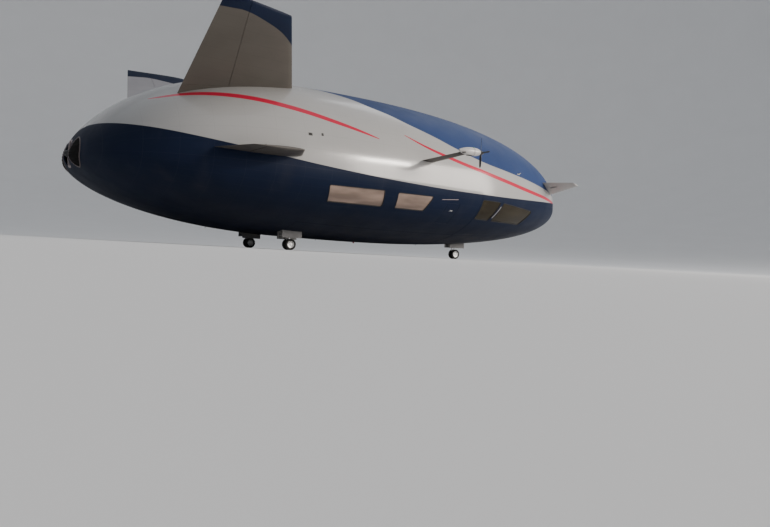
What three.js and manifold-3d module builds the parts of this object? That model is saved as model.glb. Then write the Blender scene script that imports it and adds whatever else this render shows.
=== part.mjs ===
// A lifting-body passenger airship at half scale, standing on its landing gear.
// Millimetres, +Z up, nose towards +X, port side towards +Y. Pieces are placed in the hull's own frame,
// whose origin is amidships on the hull's widest line; the craft is raised onto its wheels at the end.
import * as THREE from 'three';
import { mergeVertices } from 'three/addons/utils/BufferGeometryUtils.js';
import Module from 'manifold-3d';

const wasm = await Module();
wasm.setup();

// Driving dimensions of the hull. Each outline reaches its full size at its peak and closes at both ends.
const HALF_LENGTH = 16000;
const PLAN = { reach: 9000, peak: -4000, fore: [2.28, 2.18], aft: [3.18, 2.38] };
const CROWN = { reach: 5350, peak: -3360, fore: [2.67, 2.01], aft: [2.69, 1.58] };
const KEEL = { reach: 3320, peak: -3390, fore: [2.62, 2.17], aft: [2.18, 1.71] };
const DROOP = { slope: -355, sag: -70 };
const UPPER_SQUARENESS = 2.44;
const LOWER_SQUARENESS = 2.08;

const ENVELOPE = 10;
const WALL = 60;
const DECK = 40;
const GAP = 0.4;
const SEAT = 0.8;
const HUB_RIDE = 4050;
const CENTRING = 50;

// Frames where the hull's panels meet, and the angles of its stringers, from the port belt over the crown.
const FRAMES = [-16000, -15930, -15700, -15250, -14500, -13400, -12000, -10300, -8500, -6700, -5000, -3200,
  -1400, 400, 2200, 3900, 5500, 7200, 8900, 10500, 12000, 13300, 14400, 15200, 15700, 15930, 16000];
const AFT_JOINT = -5000;
const FORE_JOINT = 5500;
const UPPER_ANGLES = Array.from({ length: 19 }, (_, i) => 10 * i);
const WALL_DROP = [0, 12, 26, 39, 51];
const BELLY_DROP = [51, 65, 78, 90, 102, 115, 129];
const STARBOARD_WALL = WALL_DROP.map((drop) => 180 + drop);
const PORT_WALL = WALL_DROP.map((drop) => 360 - drop).reverse();
const BELLY_ANGLES = BELLY_DROP.map((drop) => 180 + drop);
const LOWER_ANGLES = [...STARBOARD_WALL, ...BELLY_ANGLES.slice(1, -1), ...PORT_WALL];

const FLOOR_TOP = -2080;
const CEILING_TOP = -250;

// Starboard openings, as corners [x, z] seen from the side; the port side mirrors them.
const OPENINGS = {
  lounge_window_aft: [[-4530, -620], [-1300, -635], [-1080, -1445], [-4310, -1425]],
  lounge_window_fore: [[-425, -675], [1910, -690], [1640, -1475], [-250, -1460]],
  cockpit_window_aft: [[5640, -560], [7190, -580], [6800, -1645], [5640, -1625]],
  cockpit_window_fore: [[7470, -600], [10570, -840], [9950, -1690], [7080, -1650]],
};
const DOOR = { aft: 3050, fore: 3950, top: -930, sill: -2040, clearance: 6, jamb: 14 };
const KNUCKLE = { radius: 20, carve: 23, at: [3300, 3700], half: 45, wallHalf: 95, stand: 6 };

const SEATS = { first: -4100, pitch: 560, rows: 12, near: 4700, far: 5700, rail: 22 };

const FIN = {
  rootFore: [-5665, -5855, 4569], rootAft: [-11745, -5855, 3423],
  tipFore: [-7360, -9490, 7255], tipAft: [-10945, -10460, 7495],
  rootThickness: 400, tipThickness: 190, rootHinge: 0.6, tipHinge: 0.64, cuff: 450, running: 15, pin: 24, pinDepth: 60,
};
const TAILPLANE = {
  rootFore: [-6100, -8700, 680], rootAft: [-10600, -8200, 680],
  tipFore: [-6900, -10900, 720], tipAft: [-9400, -10900, 720], rootThickness: 300, tipThickness: 150,
};
const CANARD = {
  rootFore: [13420, -4700, 500], rootAft: [11970, -5300, 1180],
  tipFore: [13200, -7650, 950], tipAft: [12780, -7650, 1120], rootThickness: 170, tipThickness: 70,
  split: -5950, pivot: [12690, -5950, 870], spigot: 45, running: 12,
};
const PYLON = {
  rootFore: [2000, -8300, 1160], rootAft: [650, -8300, 1180],
  tipFore: [2250, -11700, 1538], tipAft: [1550, -11700, 1543], rootThickness: 210, tipThickness: 120,
};
const NACELLE = { y: -11700, z: 1550, aft: 1300, fore: 2580, radius: 215 };
const SHAFT = { radius: 40, depth: 70, running: 1, sides: 24 };
const PROPELLER = { radius: 780, blades: 4, hub: 95, plane: 2660, nose: 2860 };
const PITCH = 0.6;
const THRUSTER = { z: 455, outer: 760, inner: 650, fore: -15150, lip: -15800, fan: 630, tail: -16100, blades: 7 };
const WHEEL = { radius: 320, rim: 190, sides: 20 };

// Landing gear: a steered nose leg and a main leg each side, each with twin wheels on one axle.
const GEAR = [
  { name: 'nose', x: 9300, y: 0, track: 150, width: 150, steered: true },
  { name: 'main_right', x: -4300, y: -3300, track: 200, width: 200, steered: false },
  { name: 'main_left', x: -4300, y: 3300, track: 200, width: 200, steered: false },
];

const PAINT = {
  white: { color: 0xc9c8c6, roughness: 0.38, metalness: 0.0 },
  navy: { color: 0x141d38, roughness: 0.3, metalness: 0.0 },
  glass: { color: 0x6b5f58, roughness: 0.08, metalness: 0.0 },
  grey: { color: 0x8b8a88, roughness: 0.45, metalness: 0.2 },
  black: { color: 0x17181b, roughness: 0.5, metalness: 0.1 },
  steel: { color: 0xa4a7aa, roughness: 0.35, metalness: 0.8 },
  rubber: { color: 0x1b1b1c, roughness: 0.85, metalness: 0.0 },
  deck: { color: 0x9a8f80, roughness: 0.7, metalness: 0.0 },
  upholstery: { color: 0x4a4038, roughness: 0.8, metalness: 0.0 },
};

const airship = new THREE.Group();

// A named piece of the craft, from a solid or a geometry.
function addPiece(name, shape, paint) {
  const geometry = shape instanceof THREE.BufferGeometry ? shape : geometryOf(shape);
  const mesh = new THREE.Mesh(geometry, new THREE.MeshStandardMaterial(PAINT[paint]));
  mesh.name = name;
  airship.add(mesh);
}

// The starboard solid under the name given, and its mirror image to port.
function addPair(name, solid, paint) {
  addPiece(`${name}_right`, solid, paint);
  addPiece(`${name}_left`, mirrored(geometryOf(solid)), paint);
}

function solidOf(geometry) {
  const bare = geometry.clone();
  bare.deleteAttribute('normal');
  bare.deleteAttribute('uv');
  const merged = mergeVertices(bare, 1e-3);
  const corners = Array.from(merged.index.array);
  const kept = [];
  for (let i = 0; i < corners.length; i += 3) {
    const [a, b, c] = corners.slice(i, i + 3);
    if (a !== b && b !== c && c !== a) kept.push(a, b, c);
  }
  return new wasm.Manifold(new wasm.Mesh({
    numProp: 3, vertProperties: merged.attributes.position.array, triVerts: new Uint32Array(kept),
  }));
}

function geometryOf(solid) {
  const mesh = solid.getMesh();
  const geometry = new THREE.BufferGeometry();
  geometry.setAttribute('position', new THREE.BufferAttribute(new Float32Array(mesh.vertProperties), 3));
  geometry.setIndex(Array.from(mesh.triVerts));
  return geometry;
}

function mirrored(geometry) {
  const turned = geometry.clone().scale(1, -1, 1);
  const index = Array.from(turned.index.array);
  for (let i = 0; i < index.length; i += 3) [index[i + 1], index[i + 2]] = [index[i + 2], index[i + 1]];
  turned.setIndex(index);
  return turned;
}

// The hull's form: three outlines and a droop give each cross-section, which is a superellipse.
function fullness(x, { peak, fore, aft }) {
  const [power, root] = x > peak ? fore : aft;
  const run = Math.abs(x - peak) / (x > peak ? HALF_LENGTH - peak : HALF_LENGTH + peak);
  return Math.max(0, 1 - Math.min(1, run) ** power) ** (1 / root);
}

function section(x) {
  const t = x / HALF_LENGTH;
  return {
    width: PLAN.reach * fullness(x, PLAN), up: CROWN.reach * fullness(x, CROWN),
    down: KEEL.reach * fullness(x, KEEL), middle: DROOP.slope * t + DROOP.sag * t * t,
  };
}

function hullPoint(x, degrees) {
  const { width, up, down, middle } = section(x);
  const angle = THREE.MathUtils.degToRad(degrees);
  const [c, s] = [Math.cos(angle), Math.sin(angle)];
  const power = 2 / (s >= 0 ? UPPER_SQUARENESS : LOWER_SQUARENESS);
  const y = Math.abs(c) < 1e-9 ? 0 : width * Math.sign(c) * Math.abs(c) ** power;
  const z = Math.abs(s) < 1e-9 ? 0 : (s > 0 ? up : down) * Math.sign(s) * Math.abs(s) ** power;
  return new THREE.Vector3(x, y, middle + z);
}

// How far outside the hull a point lies: 0 on the skin, and over 0 outside.
function outside(x, y, z) {
  const { width, up, down, middle } = section(x);
  const rise = z - middle;
  const power = rise >= 0 ? UPPER_SQUARENESS : LOWER_SQUARENESS;
  return (Math.abs(y) / width) ** power + (Math.abs(rise) / (rise >= 0 ? up : down)) ** power - 1;
}

// Height of the hull's underside at a place.
function underside(x, y) {
  const { width, down, middle } = section(x);
  return middle - down * (1 - (Math.abs(y) / width) ** LOWER_SQUARENESS) ** (1 / LOWER_SQUARENESS);
}

function skinNormal({ x, y, z }) {
  if (Math.abs(x) >= HALF_LENGTH) return new THREE.Vector3(Math.sign(x), 0, 0);
  const step = 0.5;
  return new THREE.Vector3(
    outside(x + step, y, z) - outside(x - step, y, z),
    outside(x, y + step, z) - outside(x, y - step, z),
    outside(x, y, z + step) - outside(x, y, z - step),
  ).normalize();
}

function skinAt(x, degrees, depth) {
  const point = hullPoint(x, degrees);
  return point.addScaledVector(skinNormal(point), -depth);
}

// Triangles between two rows of points. Each four-sided patch is split as its mirror image is on the other side.
function weave(faces, rowA, rowB, { inward = false, lengthwise = false } = {}) {
  for (let j = 0; j + 1 < rowA.length; j++) {
    const patch = inward ? [rowA[j], rowB[j], rowB[j + 1], rowA[j + 1]] : [rowA[j], rowA[j + 1], rowB[j + 1], rowB[j]];
    if (!lengthwise && patch[0].y + patch[1].y + patch[2].y + patch[3].y > 0) patch.push(patch.shift());
    const [a, b, c, d] = patch;
    faces.push(a, b, c, a, c, d);
  }
}

function geometryFrom(faces) {
  const flat = faces.flatMap((p) => [p.x, p.y, p.z]);
  const geometry = new THREE.BufferGeometry();
  geometry.setAttribute('position', new THREE.Float32BufferAttribute(flat, 3));
  return geometry;
}

// A curved panel of the hull between frames and stringers, from depth down to depth + thickness.
function panel(frames, angles, thickness, depth = 0, lift = 0) {
  const sheet = (d) => frames.map((x) => angles.map((a) => {
    const point = skinAt(x, a, d);
    point.z += lift;
    return point;
  }));
  const [outer, inner] = [sheet(depth), sheet(depth + thickness)];
  const faces = [];
  const last = frames.length - 1;
  for (let i = 0; i < last; i++) {
    weave(faces, outer[i], outer[i + 1]);
    weave(faces, inner[i], inner[i + 1], { inward: true });
  }
  weave(faces, outer[0], inner[0], { inward: true });
  weave(faces, outer[last], inner[last]);
  const edge = (j) => [outer.map((row) => row[j]), inner.map((row) => row[j])];
  const [firstOuter, firstInner] = edge(0);
  const [lastOuter, lastInner] = edge(angles.length - 1);
  weave(faces, firstOuter, firstInner, { lengthwise: true });
  weave(faces, lastOuter, lastInner, { inward: true, lengthwise: true });
  return solidOf(geometryFrom(faces));
}

// The whole hull as one body, sunk by a depth, for trimming what meets it.
function hullBody(depth) {
  const angles = [...UPPER_ANGLES, ...LOWER_ANGLES.slice(1)];
  const rings = FRAMES.map((x) => angles.map((a) => skinAt(x, a, depth)));
  const faces = [];
  for (let i = 0; i + 1 < rings.length; i++) weave(faces, rings[i], rings[i + 1]);
  return solidOf(geometryFrom(faces));
}

// The frames from one joint to another, drawn back by half a gap where a neighbour follows.
function frameRun(from, to) {
  const run = FRAMES.filter((x) => x >= from && x <= to);
  if (from > -HALF_LENGTH) run[0] += GAP / 2;
  if (to < HALF_LENGTH) run[run.length - 1] -= GAP / 2;
  return run;
}

// Angles of a strip, drawn back by a hair at the ends that meet a neighbouring strip.
function strip(angles, { atStart = 0, atEnd = 0 }) {
  const drawn = [...angles];
  drawn[0] += atStart;
  drawn[drawn.length - 1] -= atEnd;
  return drawn;
}

function box(min, max) {
  const [a, b] = [new THREE.Vector3(...min), new THREE.Vector3(...max)];
  const size = b.clone().sub(a);
  const centre = a.clone().add(b).multiplyScalar(0.5);
  return solidOf(new THREE.BoxGeometry(size.x, size.y, size.z).translate(centre.x, centre.y, centre.z));
}

// A prism through the starboard side, from corners [x, z] seen from the side, grown by a margin.
function sidePrism(corners, margin = 0) {
  const [far, near] = [-10500, -1500];
  const middle = corners.reduce((sum, [x, z]) => [sum[0] + x / corners.length, sum[1] + z / corners.length], [0, 0]);
  const grown = corners.map(([x, z]) => [x + Math.sign(x - middle[0]) * margin, z + Math.sign(z - middle[1]) * margin]);
  const shape = new THREE.Shape(grown.map(([x, z]) => new THREE.Vector2(x, z)).reverse());
  const geometry = new THREE.ExtrudeGeometry(shape, { depth: near - far, bevelEnabled: false });
  return solidOf(geometry.rotateX(Math.PI / 2).translate(0, near, 0));
}

// A round bar between two points, tapering if its two radii differ.
function bar(from, to, startRadius, endRadius = startRadius, sides = 16) {
  const [a, b] = [new THREE.Vector3(...from), new THREE.Vector3(...to)];
  const along = b.clone().sub(a);
  const geometry = new THREE.CylinderGeometry(endRadius, startRadius, along.length(), sides);
  const turn = new THREE.Quaternion().setFromUnitVectors(new THREE.Vector3(0, 1, 0), along.clone().normalize());
  const middle = a.add(b).multiplyScalar(0.5);
  return solidOf(geometry.applyQuaternion(turn).translate(middle.x, middle.y, middle.z));
}

// A turned piece about the X or the Y axis: profile points are [distance along the axis, radius].
function turned(profile, axis, sides) {
  const geometry = new THREE.LatheGeometry(profile.map(([along, r]) => new THREE.Vector2(r, along)), sides);
  if (axis === 'x') geometry.rotateZ(-Math.PI / 2);
  return rightWayOut(geometry.toNonIndexed());
}

function joined(solids) {
  return solids.reduce((sum, next) => sum.add(next));
}

function moved(solid, x, y, z) {
  return solidOf(geometryOf(solid).translate(x, y, z));
}

// Half-thickness of an aerofoil along its chord, as [share of chord, share of thickness].
const AEROFOIL = [[0, 0], [0.015, 0.22], [0.06, 0.36], [0.16, 0.47], [0.33, 0.5], [0.6, 0.37], [1, 0.03]];

const BLADE = [[0, 0], [0.3, 0.5], [1, 0.08]];

// A wing between a root chord and a tip chord, each from its leading to its trailing edge.
function wing({ rootFore, rootAft, tipFore, tipAft, rootThickness, tipThickness }, outline = AEROFOIL) {
  const [a, b, c, d] = [rootFore, rootAft, tipFore, tipAft].map((p) => new THREE.Vector3(...p));
  const normal = b.clone().sub(a).cross(c.clone().sub(a)).normalize();
  const ring = (fore, aft, thickness) => {
    const at = ([share, half], side) => fore.clone().lerp(aft, share).addScaledVector(normal, side * half * thickness);
    const top = outline.map((step) => at(step, 1));
    const under = outline.slice(1).reverse().map((step) => at(step, -1));
    return [...top, ...under, top[0]];
  };
  const [root, tip] = [ring(a, b, rootThickness), ring(c, d, tipThickness)];
  const faces = [];
  weave(faces, root, tip);
  const cap = (points, flip) => {
    for (let i = 1; i + 2 < points.length; i++) {
      faces.push(points[0], ...(flip ? [points[i + 1], points[i]] : [points[i], points[i + 1]]));
    }
  };
  cap(root, true);
  cap(tip, false);
  return rightWayOut(geometryFrom(faces));
}

function rightWayOut(geometry) {
  const solid = solidOf(geometry);
  if (solid.volume() > 0) return solid;
  const points = geometry.getAttribute('position');
  const order = [];
  for (let i = 0; i < points.count; i += 3) order.push(i, i + 2, i + 1);
  return solidOf(geometryFrom(order.map((k) => new THREE.Vector3().fromBufferAttribute(points, k))));
}

// The same wing with its root carried further in along its span, so that the hull can trim it.
function deepened(shape, share) {
  const back = (root, tip) => root.map((value, i) => value - (tip[i] - value) * share);
  return {
    ...shape,
    rootFore: back(shape.rootFore, shape.tipFore), rootAft: back(shape.rootAft, shape.tipAft),
    rootThickness: shape.rootThickness + (shape.rootThickness - shape.tipThickness) * share,
  };
}

const hullForTrim = hullBody(-SEAT);

// Envelope: the white upper skin, in three sections.
const envelopeSkin = (from, to) => panel(frameRun(from, to), UPPER_ANGLES, ENVELOPE, 0, GAP);

const ductHole = bar([THRUSTER.fore - SEAT, 0, THRUSTER.z], [-17000, 0, THRUSTER.z],
  THRUSTER.outer + GAP, THRUSTER.outer + GAP, 40);

function buildEnvelope() {
  addPiece('envelope_aft', envelopeSkin(-HALF_LENGTH, AFT_JOINT).subtract(ductHole), 'white');
  addPiece('envelope_mid', envelopeSkin(AFT_JOINT, FORE_JOINT), 'white');
  addPiece('envelope_fore', envelopeSkin(FORE_JOINT, HALF_LENGTH), 'white');
}

// Lower hull: the navy stern, belly, side walls and bow that carry the cabin, with its windows and doors cut.
const HAIR = 0.002;
const wallStrip = strip(STARBOARD_WALL, { atEnd: HAIR });
const portStrip = strip(PORT_WALL, { atStart: HAIR });
const bellyStrip = strip(BELLY_ANGLES, { atStart: HAIR, atEnd: HAIR });
const midRun = frameRun(AFT_JOINT, FORE_JOINT);
const bowRun = frameRun(FORE_JOINT, HALF_LENGTH);

const doorway = (jamb, clearance) => {
  const [aft, fore, top, low] = [DOOR.aft + jamb, DOOR.fore - jamb, DOOR.top - clearance, DOOR.sill + clearance];
  return sidePrism([[aft, top], [fore, top], [fore, low], [aft, low]]);
};

const BAY = { wall: 25, length: 1250, spare: 90, top: FLOOR_TOP - DECK - GAP };

function bayBlock({ x, y, track, width }, margin) {
  const half = track + width / 2 + BAY.spare + margin;
  const reach = BAY.length / 2 + margin;
  return box([x - reach, y - half, -4200], [x + reach, y + half, BAY.top + margin]);
}

// The boarding door turns about a line along its sill, just outside the skin, on two hinges.
const doorLeaf = panel(midRun, wallStrip, WALL).intersect(doorway(DOOR.jamb, DOOR.clearance));

// The outermost point of the leaf's lower edge at one of its ends.
function sillCorner(x) {
  const points = doorLeaf.getMesh().vertProperties;
  const low = DOOR.sill + DOOR.clearance;
  let y = 0;
  for (let i = 0; i < points.length; i += 3) {
    if (Math.abs(points[i] - x) < 1 && Math.abs(points[i + 2] - low) < 1) y = Math.min(y, points[i + 1]);
  }
  return [x, y - KNUCKLE.stand, low];
}

const hingeEnds = [sillCorner(DOOR.aft + DOOR.jamb), sillCorner(DOOR.fore - DOOR.jamb)];

function doorHinge(from, to, radius) {
  const [aft, fore] = hingeEnds.map((p) => new THREE.Vector3(...p));
  const along = (x) => aft.clone().lerp(fore, (x - aft.x) / (fore.x - aft.x)).toArray();
  return joined(KNUCKLE.at.map((x) => bar(along(x + from), along(x + to), radius, radius, 12)));
}

function buildLowerHull() {
  const sternAngles = LOWER_ANGLES;
  addPiece('hull_stern', panel(frameRun(-HALF_LENGTH, AFT_JOINT), sternAngles, WALL).subtract(ductHole), 'navy');

  const wall = panel(midRun, wallStrip, WALL)
    .subtract(sidePrism(OPENINGS.lounge_window_aft))
    .subtract(sidePrism(OPENINGS.lounge_window_fore))
    .subtract(doorway(0, 0))
    .subtract(doorHinge(-KNUCKLE.half - GAP, KNUCKLE.half + GAP, KNUCKLE.carve))
    .add(doorHinge(-KNUCKLE.wallHalf, -KNUCKLE.half - GAP, KNUCKLE.radius))
    .add(doorHinge(KNUCKLE.half + GAP, KNUCKLE.wallHalf, KNUCKLE.radius));
  addPair('cabin_wall', wall, 'navy');

  const bowWall = panel(bowRun, wallStrip, WALL)
    .subtract(sidePrism(OPENINGS.cockpit_window_aft))
    .subtract(sidePrism(OPENINGS.cockpit_window_fore));
  addPair('bow_wall', bowWall, 'navy');

  const [nose, ...mains] = GEAR;
  const belly = mains.reduce((skin, leg) => skin.subtract(bayBlock(leg, GAP)), panel(midRun, bellyStrip, WALL));
  addPiece('belly_mid', belly, 'navy');
  addPiece('belly_bow', panel(bowRun, bellyStrip, WALL).subtract(bayBlock(nose, GAP)), 'navy');
}

function buildGlazing() {
  const pane = (run, name) => panel(run, wallStrip, 24, 18).intersect(sidePrism(OPENINGS[name], -GAP));
  addPair('lounge_window_aft', pane(midRun, 'lounge_window_aft'), 'glass');
  addPair('lounge_window_fore', pane(midRun, 'lounge_window_fore'), 'glass');
  addPair('cockpit_window_aft', pane(bowRun, 'cockpit_window_aft'), 'glass');
  addPair('cockpit_window_fore', pane(bowRun, 'cockpit_window_fore'), 'glass');
}

function buildDoors() {
  const leaf = doorLeaf
    .subtract(doorHinge(-KNUCKLE.wallHalf - 3, -KNUCKLE.half, KNUCKLE.carve))
    .subtract(doorHinge(KNUCKLE.half, KNUCKLE.wallHalf + 3, KNUCKLE.carve))
    .add(doorHinge(-KNUCKLE.half, KNUCKLE.half, KNUCKLE.radius));
  addPair('boarding_door', leaf, 'navy');
}

// Decks inside the cabin: they fill the lower hull from wall to wall.
function buildDecks() {
  const inside = hullBody(WALL + GAP);
  const slab = (top) => box([AFT_JOINT + WALL + GAP, -9500, top - DECK], [15500, 9500, top]).intersect(inside);
  addPiece('cabin_floor', slab(FLOOR_TOP), 'deck');
  addPiece('cabin_ceiling', slab(CEILING_TOP), 'white');
  const bulkhead = box([AFT_JOINT + GAP, -9500, -3600], [AFT_JOINT + WALL, 9500, CEILING_TOP]).intersect(inside);
  addPiece('cabin_bulkhead', bulkhead, 'white');
}

// Rows of seats along the cabin windows, standing on rails that a cross rail ties together.
function buildSeats() {
  const floor = FLOOR_TOP + GAP;
  const { first, pitch, rows, near, far, rail } = SEATS;
  const parts = [box([first - 60, -far, floor], [first, far, floor + rail])];
  for (const side of [-1, 1]) {
    const across = (a, b) => (side > 0 ? [a, b] : [-b, -a]);
    const slab = (x1, x2, y1, y2, z1, z2) => {
      const [from, to] = across(y1, y2);
      return box([x1, from, floor + z1], [x2, to, floor + z2]);
    };
    const end = first + pitch * (rows - 1) + 300;
    parts.push(slab(first - 60, end, near + 90, near + 130, 0, rail));
    parts.push(slab(first - 60, end, far - 130, far - 90, 0, rail));
    for (let i = 0; i < rows; i++) {
      const x = first + pitch * i;
      parts.push(slab(x + 100, x + 140, near + 80, far - 80, rail - 5, 170));
      parts.push(slab(x, x + 290, near, far, 165, 235));
      parts.push(slab(x - 45, x + 35, near, far, 180, 600));
    }
  }
  addPiece('cabin_seats', joined(parts), 'upholstery');
}

function buildCockpit() {
  const floor = FLOOR_TOP + GAP;
  const seat = (y) => joined([
    box([9050, y - 150, floor + 15], [9550, y + 150, floor + 210]),
    box([9000, y - 150, floor + 200], [9120, y + 150, floor + 640]),
    box([9040, y - 90, floor + 630], [9120, y + 90, floor + 760]),
  ]);
  addPiece('cockpit_seats', joined([
    box([8950, -720, floor], [9650, 720, floor + 20]), seat(-480), seat(480)]), 'upholstery');
  addPiece('cockpit_console', joined([
    box([10150, -800, floor], [10350, 800, floor + 520]), box([10000, -900, floor + 420], [10400, 900, floor + 560]),
  ]), 'black');
}

// Canted tail fins, each with a rudder on a hinge line at about two thirds of its chord.
function buildFins() {
  const full = wing(deepened(FIN, 0.25));
  const point = (fore, aft, share) => new THREE.Vector3(...fore).lerp(new THREE.Vector3(...aft), share);
  const low = point(FIN.rootFore, FIN.rootAft, FIN.rootHinge);
  const high = point(FIN.tipFore, FIN.tipAft, FIN.tipHinge);
  const up = high.clone().sub(low).normalize();
  const chord = new THREE.Vector3(...FIN.rootAft).sub(new THREE.Vector3(...FIN.rootFore));
  const normal = up.clone().cross(chord).normalize();
  const aft = normal.clone().cross(up);
  const frame = new THREE.Matrix4().makeBasis(up, aft, normal).setPosition(low);
  const span = high.distanceTo(low);
  const block = (min, max) => {
    const size = max.map((value, i) => value - min[i]);
    const geometry = new THREE.BoxGeometry(...size);
    geometry.translate(...max.map((value, i) => (value + min[i]) / 2));
    return solidOf(geometry.applyMatrix4(frame));
  };
  const radii = { low: 0.37 * FIN.rootThickness * 0.98, high: 0.35 * FIN.tipThickness };
  const beyond = 700;
  const radiusAt = (s) => radii.low + (radii.high - radii.low) * (s / span);
  const onHinge = (s) => low.clone().addScaledVector(up, s).toArray();
  const nose = (from, grow) => bar(onHinge(from), onHinge(span + beyond),
    radiusAt(from) + grow, radiusAt(span + beyond) + grow, 20);
  const rudder = full.intersect(block([FIN.cuff, 0, -900], [span + beyond, 4000, 900]))
    .add(nose(FIN.cuff, -3).intersect(full));
  const notchFloor = FIN.cuff - FIN.running;
  const notch = block([notchFloor, -0.45 * radii.high, -900], [span + beyond, 4000, 900])
    .add(nose(notchFloor, FIN.running));
  const pin = (from, grow) => bar(onHinge(from), onHinge(FIN.cuff + 60), FIN.pin + grow, FIN.pin + grow, 20);
  const socket = pin(notchFloor - FIN.pinDepth - 1, SHAFT.running);
  addPair('fin', full.subtract(notch).subtract(hullForTrim).subtract(socket), 'white');
  addPair('rudder', rudder.add(pin(notchFloor - FIN.pinDepth, 0)), 'white');
}

function buildTailplanes() {
  addPair('tailplane', wing(deepened(TAILPLANE, 0.3)).subtract(hullForTrim), 'white');
}

// All-moving foreplanes: a fixed root stub, and the plane that turns on its spigot.
function buildCanards() {
  const full = wing(deepened(CANARD, 0.4));
  const cut = (from, to) => box([11000, from, -1500], [15000, to, 2500]);
  const [x, y, z] = CANARD.pivot;
  const root = full.intersect(cut(CANARD.split, -3000)).subtract(hullForTrim)
    .subtract(bar([x, y - 20, z], [x, y + 190, z], CANARD.spigot + 1));
  const plane = full.intersect(cut(-9000, CANARD.split - CANARD.running))
    .add(bar([x, y - 120, z], [x, y + 180, z], CANARD.spigot).intersect(cut(CANARD.split - 200, -5000)));
  addPair('canard_root', root, 'white');
  addPair('canard', plane, 'white');
}

// A screw with evenly spaced blades at one pitch about the X axis, its hub in front of or behind the blades.
function screw({ radius, blades, hubProfile, plane, rootChord, tipChord, thickness, hub }) {
  const chordLine = (r, chord) => {
    const [c, s] = [Math.cos(PITCH), Math.sin(PITCH)];
    return [0.5, -0.5].map((share) => [plane + share * chord * s, share * chord * c, r]);
  };
  const list = [];
  for (let i = 0; i < blades; i++) {
    const [rootFore, rootAft] = chordLine(hub * 0.8, rootChord);
    const [tipFore, tipAft] = chordLine(radius, tipChord);
    const blade = wing({
      rootFore, rootAft, tipFore, tipAft, rootThickness: thickness, tipThickness: (thickness * tipChord) / rootChord,
    }, BLADE);
    list.push(solidOf(geometryOf(blade).rotateX((2 * Math.PI * i) / blades)));
  }
  return joined([turned(hubProfile, 'x', 20), ...list]);
}

function buildEngines() {
  const { y, z, aft, fore, radius } = NACELLE;
  const shell = (grow) => moved(turned([
    [aft - grow, 0], [aft - grow, 70 + grow], [aft + 250, 150 + grow], [aft + 600, radius + grow],
    [fore - 350, radius + grow], [fore - 60, 160 + grow], [fore + grow, 120 + grow], [fore + grow, 0],
  ], 'x', 24), 0, y, z);
  const bearing = bar([fore - SHAFT.depth - 1, y, z], [fore + 50, y, z], SHAFT.radius + SHAFT.running, SHAFT.radius + SHAFT.running,
    SHAFT.sides);
  addPair('nacelle', shell(0).subtract(bearing), 'white');
  addPair('pylon', wing(deepened(PYLON, 0.3)).subtract(hullForTrim).subtract(shell(SEAT)), 'white');
  const { blades, hub, plane, nose } = PROPELLER;
  const spinner = [[fore + 10, 0], [fore + 10, 115], [plane + 20, 110], [nose - 60, 60], [nose, 12], [nose, 0]];
  const propeller = screw({
    radius: PROPELLER.radius, blades, hubProfile: spinner, plane, rootChord: 110, tipChord: 85, thickness: 26, hub,
  });
  const shaft = bar([fore - SHAFT.depth, 0, 0], [fore + 40, 0, 0], SHAFT.radius, SHAFT.radius, SHAFT.sides);
  addPair('propeller', moved(propeller.add(shaft), 0, y, z), 'black');
}

// Stern thruster: a short duct in the tail with a motor pod on struts, and a fan that turns in it.
function buildThruster() {
  const { z, outer, inner, fore, lip, fan, tail, blades } = THRUSTER;
  const ring = turned([
    [fore, inner], [fore, outer], [lip + 60, outer], [lip, outer - 25], [lip, inner + 25], [lip + 60, inner],
    [fore, inner],
  ], 'x', 40);
  const pod = turned([[fore + 20, 0], [fore + 20, 120], [fore - 80, 200], [fore - 260, 200], [fore - 260, 0]], 'x', 20);
  const struts = [0, 1, 2, 3, 4].map((i) => {
    const angle = (2 * Math.PI * i) / 5;
    const arm = box([fore - 160, 100, -18], [fore - 20, inner + 40, 18]);
    return solidOf(geometryOf(arm).rotateX(angle));
  });
  const back = box([fore - 20, -inner - 40, -inner - 40], [fore - 1, inner + 40, inner + 40])
    .intersect(bar([fore - 21, 0, 0], [fore, 0, 0], inner + 40, inner + 40, 40));
  const rear = fore - 260;
  const bearing = bar([rear - 50, 0, 0], [rear + SHAFT.depth + 1, 0, 0], SHAFT.radius + SHAFT.running, SHAFT.radius + SHAFT.running,
    SHAFT.sides);
  addPiece('stern_duct', moved(joined([ring, pod, back, ...struts]).subtract(bearing), 0, 0, z), 'grey');
  const dome = [[tail, 0], [tail + 40, 110], [tail + 150, 200], [fore - 480, 235], [fore - 280, 200], [fore - 280, 0]];
  const rotor = screw({
    radius: fan, blades, hubProfile: dome, plane: -15560, rootChord: 170, tipChord: 280, thickness: 34, hub: 200,
  });
  const shaft = bar([rear - 60, 0, 0], [rear + SHAFT.depth, 0, 0], SHAFT.radius, SHAFT.radius, SHAFT.sides);
  addPiece('stern_fan', moved(rotor.add(shaft), 0, 0, z), 'black');
}

const axleHeight = WHEEL.radius - HUB_RIDE;

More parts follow.
